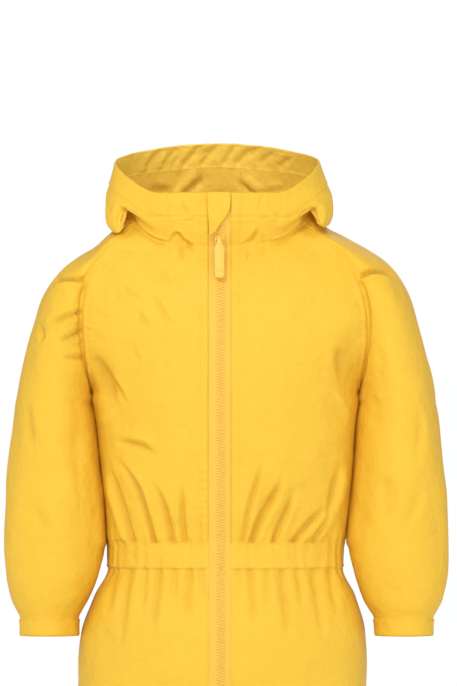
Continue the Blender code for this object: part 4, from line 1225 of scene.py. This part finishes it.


def facing_other(kind, points, normals):
    """How squarely the trunk's cloth faces an arm, or an arm's the trunk, up to 1."""
    toward = {"body": 1, "sleeve": -1}.get(kind, 0)
    return toward * normals[:, 0] * np.sign(points[:, 0])


def touching(kind, points, normals):
    """1 where the two lie together, easing to 0 round it."""
    z = points[:, 2]
    square = ease((facing_other(kind, points, normals) - 0.7) / 0.22)
    return square * ease((-163 - z) / 7) * ease((z + 330) / 8)


def valley(kind, points, normals):
    """How much painted shade the cloth gets between the two, 0 to 1."""
    z = points[:, 2]
    square = ease((facing_other(kind, points, normals) - 0.45) / 0.5)
    right, left = VALLEY_SHADE.get(kind, (0, 0))
    shade = np.where(points[:, 0] < 0, right, left)
    return shade * square * ease((-140 - z) / 40) * ease((z + 372) / 40)


print("swelling at the underarm in mm:", float(TOUCH(-182)))


# %% Move every panel
def shape_panel(name):
    """A panel's grid with its folds and seams; notes what the material needs, with the painted
    shade of creases, hollows, seams and the gap under the arms.
    """
    panel, grid, normals = PANELS[name], GRIDS[name], NORMALS[name]
    kind = name.split("_")[0]
    points, ways = grid.reshape(-1, 3), normals.reshape(-1, 3)
    touch = touching(kind, points, ways)
    move = soft_waves(points) * (1 - touch) + TOUCH(points[:, 2]) * touch
    hollows = hollow_move(kind, points, ways)
    # painted shade: darker colour in the gap under the arms and in the hollows
    sunk = valley(kind, points, ways) * FULL_SHADE_DEPTH + np.maximum(0, -hollows)
    move = move + hollows
    for crease in CREASES.get(kind, ()):
        added, depth = crease_move(crease, points, ways)
        move, sunk = move + added, sunk + depth
    if kind in ("body", "waist", "trouser"):
        move = move + elastic(points)
    move, sunk = move.reshape(grid.shape[:2]), sunk.reshape(grid.shape[:2])
    distances = edge_distances(grid)
    seams, nearest, dip = seam_move(name, grid, distances)
    move = move + seams + pucker_move(name, grid, distances)
    if name == "body_front_right":
        move = move + zip_puckers(grid)
    panel["distances"] = distances
    panel["sewn"] = nearest
    panel["sunk"] = np.clip((sunk + dip) / FULL_SHADE_DEPTH, 0, 1)
    return grid + normals * move[..., None]


SHAPED = {name: shape_panel(name) for name in PANELS}
share_at_seams(SHAPED, GRIDS)
for name in ("body_front_right", "sleeve_right", "hood_side_left"):
    deepest = np.abs(SHAPED[name] - GRIDS[name]).max()
    print("deepest move of", name, "in mm:", round(float(deepest), 1))

# %% [markdown]
# ## From grids to cloth
# A sheet starts as a flat grid, like cloth on a table, with as many squares as
# its panel has points. Each point is then put where the panel has it. A solidify
# modifier gives the sheet its thickness on the inside, more where cloth is
# folded over: along the zip, at the hems and at the face edge of the hood.

# %% Lay a flat grid on a panel
CLOTH = 0.9             # thickness of one layer
FOLDED = 1.1            # thickness where cloth is folded over
SHEETS = {}


def lay_grid(name, points, flip):
    """A mesh of squares through a grid of points, and the grid place of each vertex."""
    rows, columns = points.shape[:2]
    bm = bmesh.new()
    bmesh.ops.create_grid(bm, x_segments=columns - 1, y_segments=rows - 1, size=0.5)
    mesh = bpy.data.meshes.new(name)
    bm.to_mesh(mesh)
    bm.free()
    flat = np.empty(len(mesh.vertices) * 3)
    mesh.vertices.foreach_get("co", flat)
    flat = flat.reshape(-1, 3)
    c = np.rint((flat[:, 0] + 0.5) * (columns - 1)).astype(int)
    r = np.rint((0.5 - flat[:, 1]) * (rows - 1)).astype(int)
    mesh.vertices.foreach_set("co", (points[r, c] * MM).ravel())
    if not flip:
        mesh.flip_normals()
    mesh.shade_smooth()
    return mesh, r, c


def sharpen_seams(mesh, r, c, shape, free):
    """Marks the sewn edges sharp, so that the cut inside a seam doesn't shade the outside."""
    place = {"top": r == 0, "bottom": r == shape[0] - 1,
             "first": c == 0, "last": c == shape[1] - 1}
    ends = np.empty(len(mesh.edges) * 2, int)
    mesh.edges.foreach_get("vertices", ends)
    ends = ends.reshape(-1, 2)
    sharp = np.zeros(len(ends), bool)
    for edge, inside in place.items():
        if edge not in free:
            sharp |= inside[ends].all(axis=1)
    layer = mesh.attributes.new("sharp_edge", "BOOLEAN", "EDGE")
    layer.data.foreach_set("value", sharp)


print("one layer of cloth in mm:", CLOTH)


# %% What a sheet's mesh carries
def add_uv(mesh, across, down):
    """A UV map in metres of cloth, so that a weave keeps its size."""
    corner = np.empty(len(mesh.loops), int)
    mesh.loops.foreach_get("vertex_index", corner)
    layer = mesh.uv_layers.new(name="cloth")
    layer.uv.foreach_set("vector", (np.stack((across, down), axis=1)[corner] * MM).ravel())


def thicken(piece, thick, share=None):
    """Thickness on the inner side; share is a part of it for each vertex."""
    modifier = piece.modifiers.new("thickness", "SOLIDIFY")
    modifier.thickness = thick * MM
    modifier.offset = -1.0
    if share is not None:
        group = piece.vertex_groups.new(name="fold")
        for level in np.unique(share):
            group.add(np.nonzero(share == level)[0].tolist(), float(level), "REPLACE")
        modifier.vertex_group = "fold"
        modifier.thickness_vertex_group = 0.0


def make_sheet(key, name, points, flip, across, down, thick, share=None, free=None, **values):
    """A sheet of cloth through a grid of points. across and down are its UV map in
    mm, and values are what the cloth's material reads at each point."""
    mesh, r, c = lay_grid(name, points, flip)
    add_uv(mesh, across[r, c], down[r, c])
    for label, value in values.items():
        layer = mesh.attributes.new(label, "FLOAT", "POINT")
        layer.data.foreach_set("value", value[r, c].astype(np.float32))
    if free is not None:
        sharpen_seams(mesh, r, c, points.shape, free)
    SHEETS[key] = link(name, mesh)
    thicken(SHEETS[key], thick, None if share is None else share[r, c])


print("neck seam of a front in mm:", round(float(length_along(FRONTS[1][0])[-1])))

# %% Make every sheet
FREE_EDGES = {"body_front": ("first",), "sleeve_hem": ("bottom",), "ankle_hem": ("bottom",),
              "hood_hem": ("bottom", "first", "last"), "hood_side_right": ("first",),
              "hood_side_left": ("last",)}
FOLD_WIDE = 6.0         # width of the folded edge
FOLD_END = 4.0          # over which the fold thins out


def fold_share(distances, free):
    """Each point's share of the folded thickness."""
    thin = 1 - CLOTH / FOLDED
    share = np.full(distances["top"].shape, 1 - thin)
    for edge in free:
        share = np.maximum(share, 1 - thin * ease((distances[edge] - FOLD_WIDE) / FOLD_END))
    return np.round(share, 2)


for name, points in SHAPED.items():
    panel = PANELS[name]
    distances = panel["distances"]
    free = by_start(FREE_EDGES, name)
    make_sheet(name, "cloth_" + name, points, panel["flip"], distances["first"],
               distances["top"], FOLDED, fold_share(distances, free), free,
               sewn=panel["sewn"], sunk=panel["sunk"])
print("sheets:", len(SHEETS), "quads:", sum(len(p.data.polygons) for p in SHEETS.values()))

# %% [markdown]
# ## Zip
# A coil zip is two woven tapes, each with a spiral of nylon sewn to its edge.
# The loops of one lock between the loops of the other. The tapes lie behind the
# folded edges of the fronts, so a path is needed that runs down between those
# edges: from the hood's face edge over the neck and the waist to the crotch.

# %% The zip's path
EDGE_ROWS = len(ZIP_HEIGHTS)
TAPE_BACK = 0.7         # how far the tape lies behind the edges


def edge_line(source, side):
    """A panel edge's points beside the zip, from the hood's face edge down."""
    word = SIDE_WORD[side]
    column = 0 if side < 0 else -1
    return np.concatenate((
        source["hood_hem"][::-1, column], source["hood_side_" + word][::-1, column][1:],
        source["body_front_" + word][1:, 0], source["waist_casing"][1:, column],
        source["trouser_front_" + word][1:EDGE_ROWS, 0]))


def smooth_rows(values, passes):
    """Evens out a path; its ends stay."""
    values = values.copy()
    for _ in range(passes):
        values[1:-1] = (values[:-2] + 2 * values[1:-1] + values[2:]) / 4
    return values


RIGHT, LEFT = edge_line(SHAPED, -1), edge_line(SHAPED, 1)
ZIP_SPAN = length_along((RIGHT + LEFT) / 2)
RIGHT, LEFT = smooth_rows(RIGHT, 4), smooth_rows(LEFT, 4)
ZIP_OUT = unit(smooth_rows(unit(edge_line(NORMALS, -1) + edge_line(NORMALS, 1)), 12))


def along_zip(span, line):
    return np.stack([np.interp(span, ZIP_SPAN, line[:, i]) for i in range(3)], axis=-1)


def zip_point(span, x, out):
    """A point at a distance along the zip, at x across and out from the fronts' edges."""
    right, left, way = along_zip(span, RIGHT), along_zip(span, LEFT), unit(along_zip(span, ZIP_OUT))
    share = (np.asarray(x, float) - ZIP_EDGE[-1]) / (ZIP_EDGE[1] - ZIP_EDGE[-1])
    out = np.asarray(out, float)[..., None]
    return right + (left - right) * share[..., None] + way * out, way


def span_at(z):
    """Distance along the zip at a height."""
    return np.interp(-z, -RIGHT[:, 2], ZIP_SPAN)


print("zip length in mm:", round(float(ZIP_SPAN[-1])))

# %% [markdown]
# The tapes are sheets like the cloth, 14 and 17 mm wide. One tooth is a small
# block with rounded edges. It is modelled once and copied down both sides,
# half a step apart, so that the two rows bite into each other.

# %% Tapes
TAPE = {-1: (-18.2, -1.3), 1: (-0.7, 13.2)}    # edges of each tape, in mm across
TAPE_THICK = 0.6
for side, word in SIDE_WORD.items():
    spans, xs = np.meshgrid(np.linspace(1.0, ZIP_SPAN[-1] - 0.5, 300),
                            np.linspace(*TAPE[side], 12), indexing="ij")
    points = zip_point(spans, xs, np.full(xs.shape, -TAPE_BACK))[0]
    make_sheet("tape_" + word, "tape_" + word, points, True, xs, spans, TAPE_THICK)


# %% Copies of a small part
def copies(name, model, frames):
    """One mesh of a small model repeated in many places, each a 4 x 4 frame in mm."""
    model.verts.index_update()
    base = np.array([(*v.co, 1.0) for v in model.verts])
    faces = [[v.index for v in f.verts] for f in model.faces]
    points = np.einsum("nij,vj->nvi", np.array(frames), base)[..., :3].reshape(-1, 3) * MM
    listed = [[v + i * len(base) for v in face] for i in range(len(frames)) for face in faces]
    mesh = bpy.data.meshes.new(name)
    mesh.from_pydata(points.tolist(), [], listed)
    mesh.shade_smooth()
    return link(name, mesh)


def frame_at(place, across, along, out):
    matrix = np.eye(4)
    matrix[:3, 0], matrix[:3, 1], matrix[:3, 2], matrix[:3, 3] = across, along, out, place
    return matrix


print("size of a frame:", frame_at((0, 0, 0), (1, 0, 0), (0, 1, 0), (0, 0, 1)).shape)

# %% Teeth
TOOTH_STEP = 2.9
TOOTH = (5.0, 1.4, 1.5)
TOOTH_EDGE = 0.34
TOOTH_SHIFT = 1.75      # from the chain's middle to a tooth's
TOOTH_OUT = -0.4
CHAIN_FROM = 11.0       # heights between which the chain shows
CHAIN_TO = ZIP_END + 3
tooth = bmesh.new()
bmesh.ops.create_cube(tooth, size=1.0)
bmesh.ops.scale(tooth, vec=TOOTH, verts=tooth.verts)
bmesh.ops.bevel(tooth, geom=tooth.edges[:], offset=TOOTH_EDGE, segments=1, profile=0.5,
                affect="EDGES", material=-1)
frames = []
span = span_at(CHAIN_FROM)
while span < span_at(CHAIN_TO):
    side = -1 if len(frames) % 2 else 1
    x = sum(CHAIN) / 2 + side * TOOTH_SHIFT
    place, way = zip_point(span, x, TOOTH_OUT)
    ahead = unit(zip_point(span + 1, x, TOOTH_OUT)[0] - place)
    frames.append(frame_at(place, np.cross(ahead, way), ahead, way))
    span += TOOTH_STEP / 2
teeth = copies("zip_coil", tooth, frames)
tooth.free()
print("teeth:", len(frames))

# %% [markdown]
# The slider is a small plastic plate with two lugs on it. A pin between the
# lugs carries the pull tab, which leans a little away from the cloth. The tab
# is the one part of the suit that swings. Its hinge is at the pin.

# %% Plates with rounded edges
def plate(bm, outline, low, high, edge):
    """A flat shape from its outline, with rounded edges. x across, y up, z out."""
    face = bm.faces.new([bm.verts.new((x, y, low)) for x, y in outline])
    grown = bmesh.ops.extrude_face_region(bm, geom=[face])["geom"]
    top = [v for v in grown if isinstance(v, bmesh.types.BMVert)]
    bmesh.ops.translate(bm, verts=top, vec=(0, 0, high - low))
    whole = {face}
    queue = [face]
    while queue:
        for e in queue.pop().edges:
            for f in e.link_faces:
                if f not in whole:
                    whole.add(f)
                    queue.append(f)
    bmesh.ops.recalc_face_normals(bm, faces=list(whole))
    edges = list({e for f in whole for e in f.edges})
    bmesh.ops.bevel(bm, geom=edges, offset=edge, segments=2, profile=0.5, affect="EDGES",
                    material=-1)


def mirrored(half):
    """A whole outline from its half on the wearer's left."""
    return [(-x, y) for x, y in half] + [(x, y) for x, y in reversed(half)]


def placed_piece(name, bm, place):
    """Turns a bmesh into an object, with each point put where place says."""
    for v in bm.verts:
        v.co = Vector(place(*v.co).tolist()) * MM
    mesh = bpy.data.meshes.new(name)
    bm.to_mesh(mesh)
    bm.free()
    mesh.shade_smooth()
    return link(name, mesh)


print("corners of a mirrored outline:", len(mirrored([(1, 1), (1, -1)])))

# %% Slider
HINGE = np.array((-2.6, -69.8, -5.0))
HINGE_OUT = 5.6
SLIDER_SLOPE = math.atan2(RIGHT[np.searchsorted(-RIGHT[:, 2], 6.0), 1]
                          - RIGHT[np.searchsorted(-RIGHT[:, 2], -1.0), 1], 7.0)
SLIDER = ((-5.4, 4.6), (-4.0, 6.0), (4.0, 6.0), (5.4, 4.6),
          (5.4, -1.6), (3.2, -6.5), (-3.2, -6.5), (-5.4, -1.6))
LUG = ((2.9, -2.2), (4.4, -1.8), (4.4, 2.0), (2.9, 2.6))
PIN_THICK = 0.75        # radius
PIN_LONG = 8.4


def slider_place(x, z, out):
    """From the slider's own directions to the suit's."""
    away = out - HINGE_OUT
    return HINGE + np.array((
        x, -away * math.cos(SLIDER_SLOPE) + z * math.sin(SLIDER_SLOPE),
        z * math.cos(SLIDER_SLOPE) + away * math.sin(SLIDER_SLOPE)))


body = bmesh.new()
plate(body, SLIDER, 1.2, 3.3, 0.7)
for side in (-1, 1):
    plate(body, [(side * x, y) for x, y in LUG], 2.6, 7.0, 0.5)
pin = bmesh.ops.create_cone(body, cap_ends=True, segments=12, radius1=PIN_THICK,
                            radius2=PIN_THICK, depth=PIN_LONG)["verts"]
bmesh.ops.rotate(body, verts=pin, cent=(0, 0, 0), matrix=Matrix.Rotation(math.pi / 2, 3, "Y"))
bmesh.ops.translate(body, verts=pin, vec=(0, 0, HINGE_OUT))
slider = placed_piece("slider", body, slider_place)
print("slider faces:", len(slider.data.polygons))

# %% Pull tab
TAB_LEAN = math.radians(16)
TAB_FRONT = 1.1         # half its thickness
TAB_HALF = ((1.9, 1.1), (2.5, 0.2), (2.5, -5), (4.6, -7.5), (5.2, -10), (5.2, -39),
            (4.4, -41.6), (2.6, -42.6))
GRIP = (1.3, -9.5, -34.0)    # inset, top and bottom of the raised grip
TIP_HALF = ((5.1, -35.4), (5.1, -39.2), (4.2, -41.5), (2.5, -42.4))
EYE_HALF = ((2.3, -5.6), (2.3, 0.9))


def tab_place(x, y, z):
    """From the tab's own directions: x across, y up, z out."""
    return HINGE + np.array((x, -z * math.cos(TAB_LEAN) + y * math.sin(TAB_LEAN),
                             y * math.cos(TAB_LEAN) + z * math.sin(TAB_LEAN)))


inset, top, bottom = GRIP
grip = [(x - inset, y) for x, y in TAB_HALF if bottom < y < top]
grip = [(grip[0][0], top)] + grip + [(grip[-1][0], bottom)]
body = bmesh.new()
plate(body, mirrored(TAB_HALF), -TAB_FRONT, TAB_FRONT - 0.5, 0.45)
plate(body, mirrored(grip), TAB_FRONT - 0.9, TAB_FRONT - 0.1, 0.35)
plate(body, mirrored(TIP_HALF), TAB_FRONT - 1.0, TAB_FRONT + 0.4, 0.5)
plate(body, mirrored(EYE_HALF), TAB_FRONT - 0.9, TAB_FRONT + 0.1, 0.4)
tab = placed_piece("pull_tab_moulded", body, tab_place)
print("tab faces:", len(tab.data.polygons))

# %% [markdown]
# Where the zip ends at the top, a small folded flap of cloth covers the slider
# so that it can't catch the chin. It is a sheet of its own, sewn down along its
# side and free along its lower edge, where one corner curls up.

# %% Guard over the top of the zip
GUARD = table("right left zright zleft", (
    (-15.2, 8.6, 43.4, 43.4), (-15.4, 9.2, 36, 36.5), (-15, 8.6, 27, 28.5),
    (-14.2, 5.2, 17, 19.5), (-13.4, -1.6, 8, 11), (-12.6, -7.0, -0.5, 3.4)))
GUARD_THICK = 1.2
GUARD_LIFT = 2.9        # how far the middle stands out
CORNER_CURL = 2.4       # how much more the lower corner does
GUARD_SEAM = 3.0        # its seams show less than those of the panels
down, across = np.meshgrid(np.linspace(0, len(GUARD["left"]) - 1, 40), np.linspace(0, 1, 22),
                           indexing="ij")
edge = {key: np.interp(down, np.arange(len(rows)), rows) for key, rows in GUARD.items()}
x = edge["right"] + (edge["left"] - edge["right"]) * across
z = edge["zright"] + (edge["zleft"] - edge["zright"]) * across
lift = GUARD_LIFT * (0.35 + 0.65 * np.sin(math.pi * np.clip(across, 0.05, 0.95)) ** 0.5)
lift = lift + 0.35 * np.sin(down * 2.3) * np.sin(across * 5 + 0.6)
lift = lift + CORNER_CURL * ease((down - 4.2) / 0.8) * bell(across - 0.12, 0.16)
make_sheet("zip_guard", "zip_guard_cloth", zip_point(span_at(z), x, lift)[0], False, x, -z,
           GUARD_THICK, sewn=np.full(x.shape, GUARD_SEAM), sunk=np.zeros(x.shape))

# %% [markdown]
# ## Stitches
# A stitch shows as a short length of thread that dips into the cloth at both
# ends. One is modelled as a small spindle, then copied along lines a few
# millimetres inside the panels' edges, 3.2 mm from one to the next.

# %% Lines of stitches
STITCH = 2.5            # length
STITCH_STEP = 3.2
THREAD = 0.3            # half its thickness
STITCH_OUT = 0.05


def inset_line(name, edge, inset, rows=slice(None)):
    """Points and outward directions along a panel's edge, a little inside it."""
    panel, grid = PANELS[name], SHAPED[name]
    grids = (grid, own_normals(grid, panel["flip"]), panel["distances"][edge])
    if edge in ("top", "bottom"):
        grids = [np.swapaxes(values, 0, 1) for values in grids]
    if edge in ("last", "bottom"):
        grids = [values[:, ::-1] for values in grids]
    points, ways, distance = (values[rows] for values in grids)
    k = np.clip((distance < inset).sum(axis=1), 1, distance.shape[1] - 1)
    i = np.arange(len(k))
    before, after = distance[i, k - 1], distance[i, k]
    t = np.clip((inset - before) / (after - before), 0, 1)[:, None]
    line, way = (values[i, k - 1] * (1 - t) + values[i, k] * t for values in (points, ways))
    return line, unit(way)


def stitch_frames(line, ways):
    """A frame for every stitch along a line."""
    span = length_along(line)

    def at(place, values):
        return np.array([np.interp(place, span, values[:, i]) for i in range(3)])
    frames = []
    for middle in np.arange(STITCH_STEP, span[-1] - STITCH_STEP, STITCH_STEP):
        way = unit(at(middle, ways))
        ahead = unit(at(middle + STITCH / 2, line) - at(middle - STITCH / 2, line))
        across = unit(np.cross(ahead, way))
        frames.append(frame_at(at(middle, line) + way * STITCH_OUT, across, ahead,
                               np.cross(across, ahead)))
    return frames


print("stitches in a metre of seam:", round(1 / (STITCH_STEP * MM)))

# %% Sew them
upper = slice(3, RAGLAN_ROWS - 1)
zip_rows = slice(0, EDGE_ROWS)
fly_rows = slice(EDGE_ROWS + 3, None)
hood_sides = (("hood_side_right", "last"), ("hood_side_left", "first"))
RUNS = {
    "raglan": [(name, edge, 3.8, upper) for name, edge in (
        ("body_front_right", "last"), ("body_front_left", "last"),
        ("body_back", "first"), ("body_back", "last"))],
    "zip": [(name, edge, inset) for name, edge in (
        ("body_front_right", "first"), ("body_front_left", "first"),
        ("hood_side_right", "first"), ("hood_side_left", "last")) for inset in (1.3, 8.6)],
    "hood": [("hood_hem", "top", 1.4)] + [(name, edge, 3.6) for name, edge in hood_sides]
            + [(name, "top", 3.4) for name in ("hood_side_right", "hood_side_left", "hood_centre")],
    "waist": [("waist_casing", edge, 1.6) for edge in ("top", "bottom")],
    "hems": [(part + word, "top", 1.6) for part in ("sleeve_hem_", "ankle_hem_")
             for word in SIDE_WORD.values()],
    "trousers": [("trouser_front_right", "first", 3.0, fly_rows),
                 ("trouser_front_right", "first", 1.3, zip_rows),
                 ("trouser_front_left", "first", 1.3, zip_rows)],
}
stitch = bmesh.new()
bmesh.ops.create_uvsphere(stitch, u_segments=6, v_segments=4, radius=1.0)
bmesh.ops.rotate(stitch, verts=stitch.verts, cent=(0, 0, 0),
                 matrix=Matrix.Rotation(math.pi / 2, 3, "X"))
bmesh.ops.scale(stitch, vec=(THREAD, STITCH / 2, THREAD), verts=stitch.verts)
STITCHES = {}
for run, lines in RUNS.items():
    frames = [one for line in lines for one in stitch_frames(*inset_line(*line))]
    STITCHES[run] = copies("stitches_" + run, stitch, frames)
    print("stitches at the", run + ":", len(frames))
stitch.free()

# %% [markdown]
# ## Materials
# The coated cloth is a bright yellow polyester with a thin waterproof layer:
# satin, with a very fine weave and slight crinkles everywhere. The shared
# surface effects sit in node groups that give colours, roughness and a bent
# normal, and each material keeps its own shader.

# %% Groups for the surface effects
WHITE = (1, 1, 1, 1)
COLOUR, VALUE, VECTOR = "NodeSocketColor", "NodeSocketFloat", "NodeSocketVector"


def new_group(name, *colours):
    """A node group that takes colours and a sheen, and gives a colour, a roughness
    and a normal."""
    group = bpy.data.node_groups.new(name, "ShaderNodeTree")
    for label in colours:
        group.interface.new_socket(label, in_out="INPUT", socket_type=COLOUR).default_value = WHITE
    group.interface.new_socket("Sheen", in_out="INPUT", socket_type=VALUE).default_value = 0.5
    for label, kind in (("Colour", COLOUR), ("Roughness", VALUE), ("Normal", VECTOR)):
        group.interface.new_socket(label, in_out="OUTPUT", socket_type=kind)
    given = add_node(group, "NodeGroupInput").outputs
    return group, given, add_node(group, "NodeGroupOutput").inputs


def uneven_roughness(group, sheen, spots, amount):
    return calculate(group, "ADD", sheen, remap(group, spots, 0.3, 0.7, -amount, amount))


def plain_effects(name, scale, depth):
    """Slight unevenness for a small plastic or woven part."""
    group, given, made = new_group(name, "Colour", "Shade")
    place = add_node(group, "ShaderNodeTexCoord").outputs["Object"]
    spots = noise(group, place, scale)
    wire(group, mix_colour(group, spots, given["Colour"], given["Shade"]), made["Colour"])
    wire(group, uneven_roughness(group, given["Sheen"], spots, 0.04), made["Roughness"])
    wire(group, bump(group, spots, depth), made["Normal"])
    return group


MOULDED = plain_effects("moulded plastic", 600.0, 0.04 * MM)
WOVEN = plain_effects("woven tape", 1400.0, 0.15 * MM)
print("groups:", len(bpy.data.node_groups))

# %% [markdown]
# The coated cloth has more to it. Its yellow drifts a little from place to
# place, and painted shade deepens it where the panels marked creases, hollows
# and seams. Inside the hood the uncoated reverse side shows, painted paler as
# light that comes through the thin cloth: the group finds it where the surface
# looks toward the suit's own middle line, above the neck. Four bumps lie on one
# another: the weave, fine crinkles, wide soft crumples and the groove of a seam.

# %% The coated cloth's group
WEAVE = (900.0, 0.06 * MM)       # scale and height of each bump
CRINKLE = (70.0, 1.5 * MM)
CRUMPLE = (24.0, 6.2 * MM)
GROOVE_DEEP = 0.09 * MM
cloth_group, given, made = new_group("coated cloth", "Colour", "Shade", "Painted shade", "Reverse")
place = add_node(cloth_group, "ShaderNodeTexCoord").outputs["Object"]
threads = add_node(cloth_group, "ShaderNodeUVMap", uv_map="cloth").outputs["UV"]
sewn, sunk = (add_node(cloth_group, "ShaderNodeAttribute", attribute_name=name).outputs["Fac"]
              for name in ("sewn", "sunk"))
drift = noise(cloth_group, place, 9.0, 2.0)
crinkle = noise(cloth_group, place, CRINKLE[0], 4.0, 0.6)
crumple = noise(cloth_group, place, CRUMPLE[0], 3.0, 0.5)
weave = noise(cloth_group, threads, WEAVE[0], 2.0)

outer = mix_colour(cloth_group, remap(cloth_group, drift, 0.3, 0.7, 0.0, 0.35),
                   given["Colour"], given["Shade"])
# painted shade: deeper yellow where the panels mark shade
outer = mix_colour(cloth_group, remap(cloth_group, sunk, 0.08, 1.0, 0.0, 0.68),
                   outer, given["Painted shade"])
# painted light: the hood's inside, above the neck and facing the middle line, is painted a paler
# yellow, as the uncoated reverse side lit through the thin cloth
split = add_node(cloth_group, "ShaderNodeSeparateXYZ", {0: place}).outputs
level = add_node(cloth_group, "ShaderNodeCombineXYZ", {"X": split["X"], "Y": split["Y"]})
facing = add_node(cloth_group, "ShaderNodeTexCoord").outputs["Normal"]
outward = add_node(cloth_group, "ShaderNodeVectorMath", {0: level.outputs["Vector"], 1: facing},
                   operation="DOT_PRODUCT").outputs["Value"]
inside = calculate(cloth_group, "MULTIPLY", remap(cloth_group, outward, -0.03, -0.005, 1.0, 0.0),
                   remap(cloth_group, split["Z"], -0.02, 0.01))
wire(cloth_group, mix_colour(cloth_group, inside, outer, given["Reverse"]), made["Colour"])
wire(cloth_group, uneven_roughness(cloth_group, given["Sheen"], crinkle, 0.05), made["Roughness"])
bent = None
for height, deep in ((weave, WEAVE[1]), (crinkle, CRINKLE[1]), (crumple, CRUMPLE[1]),
                     (remap(cloth_group, sewn, 0.0, 1.0), GROOVE_DEEP)):
    bent = bump(cloth_group, height, deep, bent)
wire(cloth_group, bent, made["Normal"])
print("nodes of the coated cloth:", len(cloth_group.nodes))

# %% Materials from the groups
MATERIALS = {}


def new_material(name, group, values, finish=None):
    """A material whose shader takes a group's effects. values go into the group,
    and finish into the shader's other sockets."""
    material = bpy.data.materials.new(name)
    material.use_nodes = True
    tree = material.node_tree
    shader = tree.nodes["Principled BSDF"]
    effects = add_node(tree, "ShaderNodeGroup", node_tree=group)
    for node, settings in ((effects, values), (shader, finish or {})):
        for socket, value in settings.items():
            node.inputs[socket].default_value = value
    for output in effects.outputs:
        wire(tree, output, shader.inputs[{"Colour": "Base Color"}.get(output.name, output.name)])
    return material


MATERIALS["coated_cloth"] = new_material("coated cloth", cloth_group, {
    "Colour": (0.83, 0.505, 0.044, 1), "Shade": (0.79, 0.475, 0.037, 1),
    "Painted shade": (0.66, 0.365, 0.027, 1),         # painted shade of creases, hollows, seams and the gap under the arms
    # painted light: the paler yellow of the hood's inside
    "Reverse": (1.0, 0.705, 0.105, 1), "Sheen": 0.5},
    {"Specular IOR Level": 0.35, "Specular Tint": (1.0, 0.86, 0.5, 1)})
for name, group, colour, shade, sheen in (
        ("zip_tape", WOVEN, (0.84, 0.52, 0.06, 1), (0.8, 0.48, 0.05, 1), 0.75),
        ("zip_teeth", MOULDED, (0.9, 0.58, 0.09, 1), (0.86, 0.53, 0.07, 1), 0.42),
        ("zip_slider", MOULDED, (0.85, 0.52, 0.06, 1), (0.8, 0.47, 0.045, 1), 0.4),
        ("pull_tab", MOULDED, (0.87, 0.55, 0.08, 1), (0.83, 0.5, 0.06, 1), 0.45),
        ("thread", WOVEN, (0.86, 0.53, 0.06, 1), (0.8, 0.47, 0.045, 1), 0.6)):
    MATERIALS[name] = new_material(name, group, {"Colour": colour, "Shade": shade, "Sheen": sheen})
print("materials:", sorted(MATERIALS))

# %% [markdown]
# ## Finish the pieces
# Each piece now takes its finish and rides on a body, and the solid that it
# stands for is hidden. A table also lists what each sheet hangs from.

# %% What each sheet hangs from
HANGS_FROM = {"body_back": "hood_centre", "hood_centre": "body_back", "hood_hem": "hood_centre",
              "waist_casing": "body_back", "zip_guard": "hood_side_right"}
for word in SIDE_WORD.values():
    for part, above in (("body_front_", "sleeve_"), ("sleeve_", "hood_side_"),
                        ("sleeve_hem_", "sleeve_"), ("ankle_hem_", "trouser_front_"),
                        ("tape_", "body_front_")):
        HANGS_FROM[part + word] = above + word
    HANGS_FROM["trouser_front_" + word] = HANGS_FROM["trouser_back_" + word] = "waist_casing"
    HANGS_FROM["hood_side_" + word] = "body_back"
print("sheets that hang from another:", len(HANGS_FROM))

# %% Finish every piece and hide its solid
NODES = {"tape_right": "zip_tape_right", "tape_left": "zip_tape_left"}


def finish_piece(piece, material, body="suit"):
    piece.data.materials.clear()
    piece.data.materials.append(MATERIALS[material])
    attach(piece, body)


for name, piece in SHEETS.items():
    finish_piece(piece, "zip_tape" if name.startswith("tape") else "coated_cloth")
    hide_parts(NODES.get(name, name))
for piece, node, material, body in ((teeth, "zip_chain", "zip_teeth", "suit"),
                                    (slider, "zip_slider", "zip_slider", "suit"),
                                    (tab, "zip_pull_tab", "pull_tab", "pull_tab")):
    finish_piece(piece, material, body)
    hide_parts(node)
for piece in STITCHES.values():
    finish_piece(piece, "thread")
